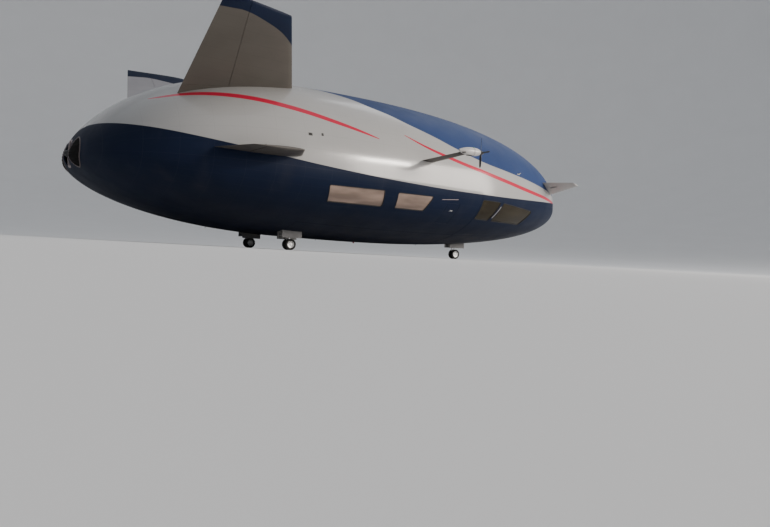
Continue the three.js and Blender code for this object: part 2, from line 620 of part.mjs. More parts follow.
function buildGear(gear) {
  const { name, x, y, track, width, steered } = gear;
  const keel = underside(x, y);
  const legTop = BAY.top - BAY.wall;
  const side = name.replace('main_', '');
  const label = (piece) => (y === 0 ? `nose_${piece}` : `main_${piece}_${side}`);

  // The wheel bay's roof and walls, with its two doors hanging open.
  const half = track + width / 2 + BAY.spare;
  const reach = BAY.length / 2;
  const cavity = box([x - reach + BAY.wall, y - half + BAY.wall, -4300], [x + reach - BAY.wall, y + half - BAY.wall, legTop]);
  const bay = bayBlock(gear, 0).intersect(hullBody(0)).subtract(cavity);
  const leaf = (sign) => {
    const hinge = y + sign * (half - BAY.wall / 2);
    const top = underside(x, hinge) + 60;
    return box([x - reach + BAY.wall, hinge - 10, top - 60 - half], [x + reach - BAY.wall, hinge + 10, top]);
  };
  addPiece(label('bay'), joined([bay, leaf(1), leaf(-1)]), 'grey');

  // The leg: an outer cylinder, a drag brace, and the sliding tube that carries the axle block.
  const split = keel - 60;
  const cylinder = joined([
    bar([x, y, split], [x, y, legTop - GAP], 85, 85, 14),
    bar([x, y, split], [x, y, split + 90], 105, 105, 14),
    bar([x + 480, y, legTop - 45], [x, y, keel + 120], 32, 32, 10),
    box([x + 420, y - 70, legTop - 90], [x + 540, y + 70, legTop - GAP]),
    box([x - 120, y - 120, legTop - 60], [x + 120, y + 120, legTop - GAP]),
  ]);
  const block = bar([x, y - 60, axleHeight], [x, y + 60, axleHeight], 72, 72, 14);
  const bore = bar([x, y - 200, axleHeight], [x, y + 200, axleHeight], 40.9, 40.9, 16);
  const tube = bar([x, y, axleHeight], [x, y, split - (steered ? GAP : -40)], 52, 52, 14);
  const link = joined([
    bar([x - 60, y, axleHeight + 30], [x - 210, y, (axleHeight + split) / 2 + 30], 20, 20, 8),
    bar([x - 210, y, (axleHeight + split) / 2 + 30], [x - 50, y, split - 45], 20, 20, 8),
    bar([x, y, split - 55], [x, y, split - GAP], 90, 90, 14),
  ]);
  const lower = joined([block, tube, link]).subtract(bore);
  if (steered) {
    addPiece(label('leg'), cylinder, 'steel');
    addPiece(label('fork'), lower, 'steel');
  } else {
    addPiece(label('leg'), joined([cylinder, lower, bar([x, y, split - 60], [x, y, split + 20], 90, 90, 14)])
      .subtract(bore), 'steel');
  }

  // Twin wheels that turn on one axle.
  const offset = track;
  const rim = (centre) => moved(turned([
    [-width * 0.36, 0], [-width * 0.36, 120], [-width * 0.42, WHEEL.rim - 12], [-width * 0.42, WHEEL.rim],
    [width * 0.42, WHEEL.rim], [width * 0.42, WHEEL.rim - 12], [width * 0.36, 120], [width * 0.36, 0],
  ], 'y', WHEEL.sides), x, centre, axleHeight);
  const axle = bar([x, y - offset, axleHeight], [x, y + offset, axleHeight], 40, 40, 16);
  addPiece(label('hubs'), joined([rim(y - offset), rim(y + offset), axle]), 'steel');
  const bead = WHEEL.rim + GAP;
  const tread = WHEEL.radius;
  const tyre = turned([
    [-width * 0.4, bead], [-width * 0.5, tread - 70], [-width * 0.45, tread - 25], [-width * 0.3, tread],
    [width * 0.3, tread], [width * 0.45, tread - 25], [width * 0.5, tread - 70], [width * 0.4, bead],
    [-width * 0.4, bead],
  ], 'y', WHEEL.sides);
  addPiece(`${label('tyre')}_outer`, moved(tyre, x, y - offset * (y > 0 ? -1 : 1), axleHeight), 'rubber');
  addPiece(`${label('tyre')}_inner`, moved(tyre, x, y + offset * (y > 0 ? -1 : 1), axleHeight), 'rubber');
}

buildEnvelope();
buildLowerHull();
buildGlazing();
buildDoors();
buildDecks();
buildSeats();
buildCockpit();
buildFins();
buildTailplanes();
buildCanards();
buildEngines();
buildThruster();
GEAR.forEach(buildGear);

airship.position.set(CENTRING, 0, HUB_RIDE);

export default airship;
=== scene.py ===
import math

import bpy
from mathutils import Matrix, Vector


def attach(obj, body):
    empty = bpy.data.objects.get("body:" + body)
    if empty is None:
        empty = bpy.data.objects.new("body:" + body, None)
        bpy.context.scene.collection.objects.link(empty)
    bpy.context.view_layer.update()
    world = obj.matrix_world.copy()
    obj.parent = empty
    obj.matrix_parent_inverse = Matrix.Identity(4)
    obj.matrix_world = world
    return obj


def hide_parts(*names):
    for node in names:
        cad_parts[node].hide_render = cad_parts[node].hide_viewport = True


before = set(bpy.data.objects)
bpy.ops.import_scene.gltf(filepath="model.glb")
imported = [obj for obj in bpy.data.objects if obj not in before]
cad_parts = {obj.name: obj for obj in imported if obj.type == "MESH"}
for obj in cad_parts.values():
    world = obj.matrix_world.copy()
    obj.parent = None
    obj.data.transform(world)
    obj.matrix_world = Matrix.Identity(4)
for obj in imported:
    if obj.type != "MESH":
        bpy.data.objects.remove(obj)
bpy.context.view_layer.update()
cad_nodes = [piece for piece in bpy.data.objects if piece.type == "MESH"]

# The hull's own frame stands in the model's frame this far forward and this far up.
CENTRING, HUB_RIDE = 0.05, 4.05

# The camera stands on the floor. Its turns are in degrees.
CAMERA = {
    "at": (-22.126, -46.143, 0.05), "yaw": -29.4856, "tilt": 0.6476, "roll": 3.1312,
    "sensor_mm": 36.0, "focal_pixels": 808.9, "frame_pixels": 770.0, "far": 3000.0,
}
# The studio's floor runs out flat and then rises, as (height, distance).
COVE = [
    (0, 0), (0, 60), (0.4, 80), (1.5, 100), (4, 122), (8, 144), (15, 166), (26, 187), (43, 205), (70, 219),
    (115, 228), (180, 232),
]
STUDIO_LIGHT, STUDIO_STRENGTH = (0.78, 0.81, 0.86, 1), 0.62
# Soft lights: name, where it stands, where it points, width and height, power and colour.
LIGHTS = [
    ("side_key", (60, -66, 24), (4, 0, 3), (60, 26), 72000, (1.0, 0.92, 0.84)),
    ("low_streak", (37.4, -63, 26.6), (-1.2, -9, 5), (15, 4), 20000, (1.0, 0.93, 0.84)),
    ("over_bow", (60, 30, 60), (4, 0, 4), (50, 50), 12000, (0.94, 0.96, 1.0)),
]

# Faces that would touch are kept this far apart, and facets flatter than this angle are shaded as one.
SNUG, FLAT = 0.0004, 40

# Hull outlines in metres: full reach, where it peaks, and how each end closes.
HALF_LENGTH = 16.0
PLAN = (9.0, -4.0, (2.28, 2.18), (3.18, 2.38))
CROWN = (5.35, -3.36, (2.67, 2.01), (2.69, 1.58))
KEEL = (3.32, -3.39, (2.62, 2.17), (2.18, 1.71))
DROOP, SAG = -0.355, -0.070
UPPER_POWER, LOWER_POWER = 2.44, 2.08
AFT_JOINT, FORE_JOINT = -5.0, 5.5
WALL_DROP = 51
ENVELOPE, WALL = 0.010, 0.060
FLOOR_TOP = -2.08
# A place behind the stern, from which tools cut into it.
BEHIND = -17.0

# Starboard windows as corners (along, up) and the radius of their corners.
WINDOWS = {
    "lounge_window_aft": ([(-4.53, -0.62), (-1.30, -0.635), (-1.08, -1.445), (-4.31, -1.425)], 0.07),
    "lounge_window_fore": ([(-0.425, -0.675), (1.91, -0.69), (1.64, -1.475), (-0.25, -1.46)], 0.07),
    "cockpit_window_aft": ([(5.64, -0.56), (7.19, -0.58), (6.80, -1.645), (5.64, -1.625)], 0.09),
    "cockpit_window_fore": ([(7.47, -0.60), (10.57, -0.84), (9.95, -1.69), (7.08, -1.65)], 0.09),
}
DOOR = {"aft": 3.05, "fore": 3.95, "top": -0.93, "sill": -2.04, "clearance": 0.006, "jamb": 0.014,
        "corner": 0.03}
DOOR_HINGE = ((3.064, -6.9278, -2.034), (3.936, -6.83632, -2.034))
SILL_GROOVE = 0.014
KNUCKLES = {"radius": 0.020, "carve": 0.023, "at": (3.3, 3.7), "half": 0.045, "wall_half": 0.095}

# Wings by the corners of their root and their tip, and their thickness at each.
FIN = {
    "root_fore": (-5.665, -5.855, 4.569), "root_aft": (-11.745, -5.855, 3.423),
    "tip_fore": (-7.36, -9.49, 7.255), "tip_aft": (-10.945, -10.46, 7.495),
    "root_thick": 0.40, "tip_thick": 0.19,
}
RUDDER = {"root_share": 0.60, "tip_share": 0.64, "cuff": 0.45, "running": 0.015, "pin": 0.024, "past": 0.7}
TAILPLANE = {
    "root_fore": (-6.10, -8.70, 0.68), "root_aft": (-10.60, -8.20, 0.68),
    "tip_fore": (-6.90, -10.90, 0.72), "tip_aft": (-9.40, -10.90, 0.72),
    "root_thick": 0.30, "tip_thick": 0.15,
}
CANARD = {
    "root_fore": (13.42, -4.70, 0.50), "root_aft": (11.97, -5.30, 1.18),
    "tip_fore": (13.20, -7.65, 0.95), "tip_aft": (12.78, -7.65, 1.12),
    "root_thick": 0.17, "tip_thick": 0.07,
}
CANARD_SPLIT, CANARD_RUNNING = -5.95, 0.012
CANARD_PIVOT, SPIGOT = (12.69, -5.95, 0.87), 0.045
PYLON = {
    "root_fore": (1.80, -8.30, 1.215), "root_aft": (0.88, -8.30, 1.16),
    "tip_fore": (2.20, -11.70, 1.545), "tip_aft": (1.62, -11.70, 1.540),
    "root_thick": 0.17, "tip_thick": 0.11,
}
NACELLE = {"y": -11.70, "z": 1.55, "aft": 1.30, "fore": 2.58, "radius": 0.215}
PROPELLER = {"radius": 0.78, "blades": 4, "hub": 0.095, "plane": 2.66, "nose": 2.86}
THRUSTER = {
    "z": 0.455, "outer": 0.76, "inner": 0.65, "fore": -15.15, "lip": -15.80, "fan": 0.63, "tail": -16.10,
    "blades": 7, "plane": -15.56, "hub": 0.20,
}
BLADE_PITCH = 0.6
INTAKE = {"y": -1.95, "z": 0.40, "half_wide": 1.0, "half_tall": 0.76}

SEATS = {"first": -4.10, "pitch": 0.56, "rows": 12, "near": 4.70, "far": 5.70}
COCKPIT = {"seat": 9.0, "seats_y": (-0.48, 0.48), "desk": 10.15, "screens_y": (-0.62, -0.31, 0.0, 0.31, 0.62)}
RIM, TYRE_RADIUS = 0.19, 0.32
AXLE = TYRE_RADIUS - HUB_RIDE
BAY_TOP, BAY_FOOT, BAY_WALL, BAY_REACH = -2.1204, -4.2, 0.025, 0.625
GEAR = [
    {"name": "nose", "x": 9.3, "y": 0.0, "track": 0.15, "width": 0.15},
    {"name": "main_right", "x": -4.3, "y": -3.3, "track": 0.20, "width": 0.20},
    {"name": "main_left", "x": -4.3, "y": 3.3, "track": 0.20, "width": 0.20},
]

# Fittings on the skin, as (along, up) and then their size.
AERIAL_AT, LAMP_ALONG = (8.885, 1.307), 2.2
VENTS = [(-5.73, 1.82, 0.20), (-5.06, 1.87, 0.11)]
HATCHES = [(-2.9, -2.15, 0.70, 0.40), (0.9, -2.20, 0.90, 0.42), (5.0, -2.05, 0.42, 0.40)]
RUNG_HEIGHTS = (-1.20, -1.42, -1.64, -1.86)
# Drain masts below, as (along, across).
MASTS = [(-8.0, 0.6), (-1.5, -0.8), (6.5, 0.5)]

# The envelope's panels lap every so far along it, and in so many gores round it.
LAP_SPACING, GORES = 1.5, 48
# Half the width over which one paint gives way to the next.
PAINT_EDGE = 0.006
# Where paint meets paint on the hull's sides, as (place along, height), the same on both sides.
BELT = [
    (-16, 1.93), (-14.9, 1.74), (-12.9, 1.42), (-11, 1.11), (-9, 0.82), (-7.1, 0.56), (-5.2, 0.335),
    (-3.2, 0.145), (-1.3, -0.01), (0.7, -0.125), (2.6, -0.205), (4.6, -0.245), (6.7, -0.25), (8.7, -0.22),
    (10.7, -0.16), (12.8, -0.065), (14.9, 0.05), (16, 0.12),
]
CAPE = [
    (-16, 5.95), (-7.5, 5.55), (-4.6, 5.09), (-2.4, 4.46), (-1.5, 4.03), (-0.4, 3.63), (0.5, 3.25),
    (2.1, 2.70), (3.6, 2.18), (5.6, 1.65), (7.7, 1.33), (9.6, 1.08), (11.2, 0.86), (12.8, 0.66),
    (14.5, 0.38), (16, -0.1),
]
AFT_STRIPE = [
    (-13.0, 3.06), (-12.5, 3.16), (-11.6, 3.34), (-10.5, 3.455), (-9.4, 3.47), (-8.2, 3.40), (-6.9, 3.22),
    (-5.7, 3.01), (-4.5, 2.75), (-2.9, 2.38), (-1.7, 2.06),
]
FORE_STRIPE = [
    (0.0, 2.50), (1.3, 2.01), (2.6, 1.655), (3.9, 1.36), (5.4, 1.08), (7.6, 0.71), (10.0, 0.37),
    (12.7, 0.12), (15.6, -0.15),
]
# The stripes' half widths along them.
AFT_WIDTHS = [(-13.0, 0.015), (-12.2, 0.06), (-9, 0.125), (-5, 0.12), (-3, 0.08), (-1.7, 0.02)]
FORE_WIDTHS = [(0.0, 0.02), (1.8, 0.075), (4, 0.10), (8, 0.11), (13, 0.09), (15.6, 0.03)]
FIN_BAND = [
    (-12.6, 6.90), (-11.0, 6.95), (-10.4, 6.97), (-9.8, 6.98), (-8.6, 6.79), (-7.6, 6.55), (-6.9, 6.28),
    (-5.6, 5.7),
]
PAINT = {
    # The cape's blue and the belt's navy are one navy paint, in a lit copy for the hull's top and a shaded
    # copy below: painted light and painted shade.
    "white": (0.34, 0.336, 0.33), "navy": (0.006, 0.0112, 0.030), "cape_painted_lit_navy": (0.026, 0.048, 0.130),
    # The two fin colours are one paint, lighter where light falls and darker in shade: painted light and
    # painted shade.
    "red": (0.46, 0.008, 0.040), "fin_light": (0.25, 0.25, 0.27), "fin_shade": (0.084, 0.076, 0.067),
}
MIRROR = Matrix.Scale(-1, 4, (0, 1, 0))


def place(x, y, z):
    return Vector((x + CENTRING, y, z + HUB_RIDE))


def deselect():
    if bpy.context.mode != "OBJECT":
        bpy.ops.object.mode_set(mode="OBJECT")
    bpy.ops.object.select_all(action="DESELECT")


def take_up(piece):
    deselect()
    piece.select_set(True)
    bpy.context.view_layer.objects.active = piece
    return piece


# Camera, floor and lights

def set_up_camera():
    yaw, tilt, roll = (math.radians(CAMERA[turn]) for turn in ("yaw", "tilt", "roll"))
    back = Vector((math.sin(yaw) * math.cos(tilt), -math.cos(yaw) * math.cos(tilt), math.sin(tilt)))
    level = (-back).cross(Vector((0, 0, 1))).normalized()
    upright = level.cross(-back)
    right = math.cos(roll) * level + math.sin(roll) * upright
    up = math.cos(roll) * upright - math.sin(roll) * level
    deselect()
    bpy.ops.object.camera_add()
    camera = bpy.context.object
    camera.name = "floor_camera"
    turn = Matrix((right, up, back)).transposed()
    camera.matrix_world = Matrix.Translation(Vector(CAMERA["at"])) @ turn.to_4x4()
    camera.data.sensor_fit = "HORIZONTAL"
    camera.data.sensor_width = CAMERA["sensor_mm"]
    camera.data.lens = CAMERA["sensor_mm"] * CAMERA["focal_pixels"] / CAMERA["frame_pixels"]
    camera.data.clip_end = CAMERA["far"]
    bpy.context.scene.camera = camera


def soft_light(name, at, aim, size, power, colour):
    deselect()
    bpy.ops.object.light_add(type="AREA", location=at)
    lamp = bpy.context.object
    lamp.name = name
    lamp.data.shape = "RECTANGLE"
    lamp.data.size, lamp.data.size_y = size
    lamp.data.energy = power
    lamp.data.color = colour
    lamp.rotation_euler = (Vector(aim) - Vector(at)).to_track_quat("-Z", "Y").to_euler()


def set_up_stage():
    floor = turned(COVE, (0, 0, -HUB_RIDE), "Z", 96, closed=False)
    floor.name = floor.data.name = "studio_floor"
    if floor.data.polygons[0].normal.z < 0:
        floor.data.flip_normals()
    smooth(floor, 60)
    floor.data.materials.append(floor_finish())
    world = bpy.data.worlds.new("pale_studio")
    world.use_nodes = True
    world.node_tree.nodes["Background"].inputs["Color"].default_value = STUDIO_LIGHT
    world.node_tree.nodes["Background"].inputs["Strength"].default_value = STUDIO_STRENGTH
    bpy.context.scene.world = world
    for light in LIGHTS:
        soft_light(*light)


# Finishes

def shade(colour, factor):
    return tuple(min(1.0, part * factor) for part in colour)


class Finish:
    """A node material. Its methods add nodes, and take a number, a colour or a socket for each input."""

    def __init__(self, name, roughness=0.5, metallic=0.0, **shader_values):
        self.material = bpy.data.materials.new(name)
        self.material.use_nodes = True
        self.tree = self.material.node_tree
        self.shader = self.tree.nodes["Principled BSDF"]
        self.shader.inputs["Roughness"].default_value = roughness
        self.shader.inputs["Metallic"].default_value = metallic
        for label, value in shader_values.items():
            self.shader.inputs[label.replace("_", " ")].default_value = value
        self.where = self.tree.nodes.new("ShaderNodeTexCoord").outputs["Object"]

    def put(self, socket, value):
        if isinstance(value, bpy.types.NodeSocket):
            self.tree.links.new(value, socket)
        else:
            socket.default_value = value

    def node(self, kind, inputs, output=0, **settings):
        made = self.tree.nodes.new(kind)
        for label, value in settings.items():
            setattr(made, label, value)
        for label, value in inputs.items():
            self.put(made.inputs[label], value)
        return made.outputs[output]

    def math(self, operation, first, second=0.0, third=0.0):
        return self.node("ShaderNodeMath", {0: first, 1: second, 2: third}, operation=operation)

    def split(self, vector):
        made = self.tree.nodes.new("ShaderNodeSeparateXYZ")
        self.put(made.inputs[0], vector)
        return made.outputs

    def noise(self, scale, detail=3.0, stretch=(1, 1, 1)):
        spread = self.node("ShaderNodeMapping", {"Vector": self.where, "Scale": stretch})
        return self.node("ShaderNodeTexNoise", {"Vector": spread, "Scale": scale, "Detail": detail})

    def ramp(self, value, low, high, start=0.0, end=1.0, smooth=False):
        kind = "SMOOTHSTEP" if smooth else "LINEAR"
        return self.node("ShaderNodeMapRange", {0: value, 1: low, 2: high, 3: start, 4: end},
                         interpolation_type=kind)

    def lines(self, value, spacing, width):
        """One on thin lines this far apart, and nought between them."""
        return self.ramp(self.math("PINGPONG", value, spacing / 2), 0.0, width, 1.0, 0.0)

    def mix(self, share, first, second):
        made = self.tree.nodes.new("ShaderNodeMix")
        made.data_type = "RGBA"
        for socket, value in ((made.inputs[0], share), (made.inputs[6], first), (made.inputs[7], second)):
            self.put(socket, (*value, 1.0) if isinstance(value, tuple) else value)
        return made.outputs[2]

    def mottled(self, colour, amount, scale, stretch=(1, 1, 1)):
        patches = self.ramp(self.noise(scale, 4.0, stretch), 0.3, 0.7)
        return self.mix(patches, shade(colour, 1 - amount), shade(colour, 1 + amount))

    def curve(self, value, points, low, high):
        """A curve through (value, result) points, both in real units."""
        first, last = points[0][0], points[-1][0]
        made = self.tree.nodes.new("ShaderNodeFloatCurve")
        line = made.mapping.curves[0]
        spots = [((x - first) / (last - first), (z - low) / (high - low)) for x, z in points]
        line.points[0].location, line.points[1].location = spots[0], spots[-1]
        for spot in spots[1:-1]:
            line.points.new(*spot)
        made.mapping.update()
        self.put(made.inputs["Value"], self.ramp(value, first, last))
        return self.ramp(made.outputs[0], 0.0, 1.0, low, high)

    def hull_place(self):
        """Where a spot is along the hull and up it, as the paint's lines are given."""
        x, _, z = self.split(self.where)
        return self.math("SUBTRACT", x, CENTRING), self.math("SUBTRACT", z, HUB_RIDE)

    def above(self, place_on, points, low, high):
        """One above a line of (along, height) points, and nought below it."""
        along, height = place_on
        over = self.math("SUBTRACT", height, self.curve(along, points, low, high))
        return self.ramp(over, -PAINT_EDGE, PAINT_EDGE, smooth=True)

    def colour(self, value):
        self.put(self.shader.inputs["Base Color"], value)
        return self

    def rough(self, low, high, scale):
        self.put(self.shader.inputs["Roughness"], self.ramp(self.noise(scale, 4.0), 0.3, 0.7, low, high))
        return self

    def bump(self, height, strength, distance):
        bumped = self.node("ShaderNodeBump", {"Height": height, "Strength": strength, "Distance": distance})
        self.put(self.shader.inputs["Normal"], bumped)
        return self


def floor_finish():
    finish = Finish("floor_paper", roughness=0.9, Specular_IOR_Level=0.2)
    finish.colour(finish.mottled((0.74, 0.745, 0.75), 0.012, 0.15))
    return finish.material


def hull_livery():
    finish = Finish("hull_livery", Specular_IOR_Level=0.10, Coat_Roughness=0.15)
    along, height = finish.hull_place()
    low, high = -4.0, 6.0

    def stripe(points, half_widths):
        off = finish.math("ABSOLUTE", finish.math("SUBTRACT", height, finish.curve(along, points, low, high)))
        spare = finish.math("SUBTRACT", off, finish.curve(along, half_widths, 0.0, 0.2))
        inside = finish.ramp(spare, -PAINT_EDGE, 0.004, 1.0, 0.0, smooth=True)
        begun = finish.math("GREATER_THAN", along, points[0][0])
        open_yet = finish.math("LESS_THAN", along, points[-1][0])
        return finish.math("MULTIPLY", inside, finish.math("MULTIPLY", begun, open_yet))

    white = finish.mottled(PAINT["white"], 0.03, 0.35, (0.6, 1, 1))
    navy = finish.mottled(PAINT["navy"], 0.12, 0.30)
    # The cape's blue is a lit copy of the navy paint: painted light.
    cape_painted_lit_navy = finish.mottled(PAINT["cape_painted_lit_navy"], 0.08, 0.30)
    belt_up, cape_up = (finish.above((along, height), line, low, high) for line in (BELT, CAPE))
    colour = finish.mix(cape_up, white, cape_painted_lit_navy)
    for points, half_widths in ((AFT_STRIPE, AFT_WIDTHS), (FORE_STRIPE, FORE_WIDTHS)):
        colour = finish.mix(stripe(points, half_widths), colour, PAINT["red"])
    colour = finish.mix(belt_up, navy, colour)

    # Laps of the panels: rings along the hull, and gores that follow the piece's own UV map round it.
    gore = finish.split(finish.node("ShaderNodeTexCoord", {}, "UV"))[1]
    laps = finish.lines(along, LAP_SPACING, 0.014)
    seam = finish.math("MAXIMUM", laps, finish.lines(gore, 1 / GORES, 0.0004))
    colour = finish.mix(finish.math("MULTIPLY", seam, 0.12), colour, (0.09, 0.09, 0.10))
    streaks = finish.ramp(finish.noise(0.8, 5.0, (1.0, 1.0, 0.25)), 0.55, 0.80)
    colour = finish.mix(finish.math("MULTIPLY", streaks, 0.05), colour, (0.16, 0.14, 0.12))
    finish.colour(colour)
    glossy = finish.math("SUBTRACT", belt_up, cape_up)
    finish.put(finish.shader.inputs["Coat Weight"], finish.math("MULTIPLY", glossy, 0.85))
    tone = finish.ramp(finish.noise(0.8, 4.0), 0.3, 0.7, 0.52, 0.62)
    finish.put(finish.shader.inputs["Roughness"], finish.math("MULTIPLY_ADD", glossy, -0.20, tone))
    relief = finish.math("MULTIPLY_ADD", finish.noise(60.0, 2.0), 0.04, finish.noise(0.45, 2.0, (1, 1, 2)))
    finish.bump(finish.math("SUBTRACT", relief, finish.math("MULTIPLY", seam, 0.10)), 0.30, 0.02)
    return finish.material


def fin_paint(name, colour):
    """Fin paint under a navy band: the band lies over a line that falls towards the leading edge."""
    finish = Finish(name, Specular_IOR_Level=0.15)
    along, height = finish.hull_place()
    body = finish.mottled(colour, 0.06, 0.9, (0.5, 1, 1))
    ribs = finish.lines(height, 0.42, 0.008)
    body = finish.mix(finish.math("MULTIPLY", ribs, 0.25), body, (0.03, 0.03, 0.03))
    band = finish.mottled(PAINT["navy"], 0.12, 0.6)
    finish.colour(finish.mix(finish.above((along, height), FIN_BAND, 4.0, 8.0), body, band))
    finish.rough(0.46, 0.58, 1.5)
    finish.bump(finish.math("MULTIPLY_ADD", ribs, -0.3, finish.noise(1.2, 2.0)), 0.25, 0.006)
    return finish.material


def coated(name, colour, roughness, scale, coat=0.0, grain=40.0, depth=0.002, spread=0.07, gloss=0.5):
    """A paint or a rubber, mottled over patches of a scale and grained by a finer bump."""
    finish = Finish(name, roughness, Coat_Weight=coat, Coat_Roughness=0.15, Specular_IOR_Level=gloss)
    finish.colour(finish.mottled(colour, spread, scale))
    finish.rough(max(0.04, roughness - 0.06), min(1.0, roughness + 0.08), scale * 2)
    finish.bump(finish.noise(grain, 3.0), 0.15, depth)
    return finish.material


def worn_metal(name, colour, roughness, turned_lines=False):
    finish = Finish(name, roughness, metallic=1.0)
    scratches = finish.noise(30.0, 5.0, (1, 12, 1) if turned_lines else (1, 1, 10))
    finish.colour(finish.mix(finish.ramp(scratches, 0.45, 0.75), colour, shade(colour, 0.72)))
    uneven = finish.ramp(scratches, 0.3, 0.7, roughness, roughness + 0.18)
    finish.put(finish.shader.inputs["Roughness"], uneven)
    finish.bump(scratches, 0.10, 0.0008)
    return finish.material


def glass_tint_and_painted_reflection(name, colour, alpha, gloss, shine):
    finish = Finish(name, IOR=1.5, Alpha=alpha, Coat_Weight=shine, Coat_Roughness=0.04,
                    Specular_IOR_Level=gloss)
    # Broad bands lighten and darken the glass: painted reflection.
    painted_reflection_bands = finish.ramp(finish.noise(0.9, 2.0, (0.6, 1, 2.2)), 0.35, 0.65)
    finish.colour(finish.mix(painted_reflection_bands, shade(colour, 0.68), shade(colour, 1.20)))
    finish.rough(0.05, 0.12, 2.0)
    finish.bump(finish.noise(1.3, 2.0), 0.08, 0.004)
    return finish.material


def seat_leather():
    finish = Finish("seat_leather", Coat_Weight=0.1, Coat_Roughness=0.4)
    grain = finish.node("ShaderNodeTexVoronoi", {"Vector": finish.where, "Scale": 220.0})
    finish.colour(finish.mottled((0.060, 0.046, 0.038), 0.18, 5.0))
    finish.rough(0.42, 0.58, 8.0)
    finish.bump(grain, 0.25, 0.0008)
    return finish.material


def carpet():
    finish = Finish("cabin_carpet", roughness=0.92, Sheen_Weight=0.2, Sheen_Roughness=0.5)
    tufts = finish.noise(260.0, 2.0)
    tone = finish.mix(tufts, (0.075, 0.062, 0.052), (0.17, 0.145, 0.125))
    trodden = finish.ramp(finish.noise(0.9, 4.0), 0.35, 0.75, 0.0, 0.3)
    finish.colour(finish.mix(trodden, tone, (0.06, 0.05, 0.045)))
    finish.bump(tufts, 0.5, 0.004)
    return finish.material


def panelled(name, colour, spacing):
    """Lining in sheets, with a fine joint between them along and across."""
    roughness = 0.6
    finish = Finish(name, roughness)
    x, y, _ = finish.split(finish.where)
    joint = finish.math("MAXIMUM", finish.lines(x, spacing, 0.006), finish.lines(y, spacing, 0.006))
    base = finish.mottled(colour, 0.04, 1.2)
    finish.colour(finish.mix(finish.math("MULTIPLY", joint, 0.6), base, shade(colour, 0.35)))
    finish.rough(roughness - 0.05, roughness + 0.08, 3.0)
    grain = finish.math("MULTIPLY", finish.noise(50, 2.0), 0.1)
    finish.bump(finish.math("MULTIPLY_ADD", joint, -1.0, grain), 0.4, 0.004)
    return finish.material


def lamp_glass(name, colour):
    finish = Finish(name, IOR=1.45, Coat_Weight=0.5, Coat_Roughness=0.03)
    spacing = 0.006
    rings = finish.math("PINGPONG", finish.split(finish.where)[0], spacing)
    finish.colour(finish.mix(finish.ramp(rings, 0.0, spacing), shade(colour, 0.6), colour))
    finish.rough(0.06, 0.14, 20.0)
    finish.bump(rings, 0.4, 0.004)
    return finish.material


def make_finishes():
    return {
        "livery": hull_livery(),
        # One fin paint in a lit copy and a shaded copy: painted light and painted shade.
        "fin_light": fin_paint("fin_painted_lit_face", PAINT["fin_light"]),
        "fin_shade": fin_paint("fin_painted_shade_face", PAINT["fin_shade"]),
        # Tailplanes and rudder fairings get a dark paint for the shade they lie in: painted shade.
        "plane_shade": coated("plane_paint_painted_shade", (0.070, 0.062, 0.055), 0.45, 0.8, coat=0.1),
        "plane_grey": coated("plane_paint_grey", (0.38, 0.365, 0.355), 0.42, 0.8, coat=0.15),
        # The pylons get a dark paint for their shaded undersides: painted shade.
        "arm_shade": coated("pylon_paint_painted_shade", (0.040, 0.034, 0.030), 0.5, 0.8),
        "white": coated("white_paint", (0.50, 0.485, 0.47), 0.35, 0.7, coat=0.3),
        "pale_lip": coated("duct_lip_paint", (0.33, 0.27, 0.27), 0.42, 2.0, coat=0.1),
        "dull_lip": coated("intake_lip_paint", (0.15, 0.122, 0.122), 0.55, 2.0),
        # Near-black for dark vents and slats, and painted shade inside the stern duct and over the stern
        # intakes.
        "dark": coated("dark_paint_and_painted_hollow_shade", (0.008, 0.007, 0.007), 0.8, 2.0, gloss=0.06),
        "blade": coated("blade_composite", (0.014, 0.014, 0.016), 0.42, 6.0, coat=0.2, grain=200,
                        depth=0.0005),
        "rubber": coated("seal_rubber", (0.010, 0.010, 0.012), 0.7, 8.0, grain=120),
        "tyre": coated("tyre_rubber", (0.014, 0.014, 0.0145), 0.82, 5.0, grain=90, depth=0.003,
                       spread=0.25),
        "steel": worn_metal("gear_steel_satin", (0.50, 0.51, 0.53), 0.30),
        "chrome": worn_metal("oleo_chrome", (0.80, 0.80, 0.82), 0.08),
        "alloy": worn_metal("wheel_alloy", (0.56, 0.57, 0.58), 0.32, turned_lines=True),
        "grey": coated("fitting_paint_grey", (0.20, 0.20, 0.205), 0.5, 3.0, coat=0.05, spread=0.12),
        "gear_white": coated("leg_paint_white", (0.55, 0.55, 0.54), 0.35, 4.0, coat=0.25, spread=0.10),
        # The lounge glass's pinkish tan is the sky's reflection: painted reflection.
        "lounge_glass": glass_tint_and_painted_reflection("lounge_glass", (0.29, 0.21, 0.17), 0.86, 0.5, 0.30),
        "cockpit_glass": glass_tint_and_painted_reflection("cockpit_glass", (0.030, 0.024, 0.014), 0.90, 0.15, 0.0),
        "carpet": carpet(),
        "upholstery": seat_leather(),
        "trim": coated("seat_trim", (0.11, 0.105, 0.10), 0.5, 4.0),
        "lining": panelled("cabin_lining", (0.46, 0.44, 0.41), 0.9),
        "dark_lining": panelled("cockpit_lining", (0.085, 0.080, 0.075), 0.6),
        "screen": coated("screen_glass", (0.008, 0.012, 0.016), 0.10, 3.0, coat=0.6),
        "red_lamp": lamp_glass("red_lamp_glass", (0.55, 0.01, 0.01)),
        "green_lamp": lamp_glass("green_lamp_glass", (0.01, 0.42, 0.10)),
    }


# Making and finishing pieces

def fit_out(piece, name, body, slot, *looks):
    """A piece gets its name and body, and its finishes by their names. The slot is not used."""
    piece.name = piece.data.name = name
    if looks:
        piece.data.materials.clear()
    for look in looks:
        piece.data.materials.append(finishes[look])
    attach(piece, body)
    return piece


def edit_all(piece):
    take_up(piece)
    bpy.ops.object.mode_set(mode="EDIT")
    bpy.ops.mesh.select_all(action="SELECT")


def leave_edit():
    bpy.ops.object.mode_set(mode="OBJECT")


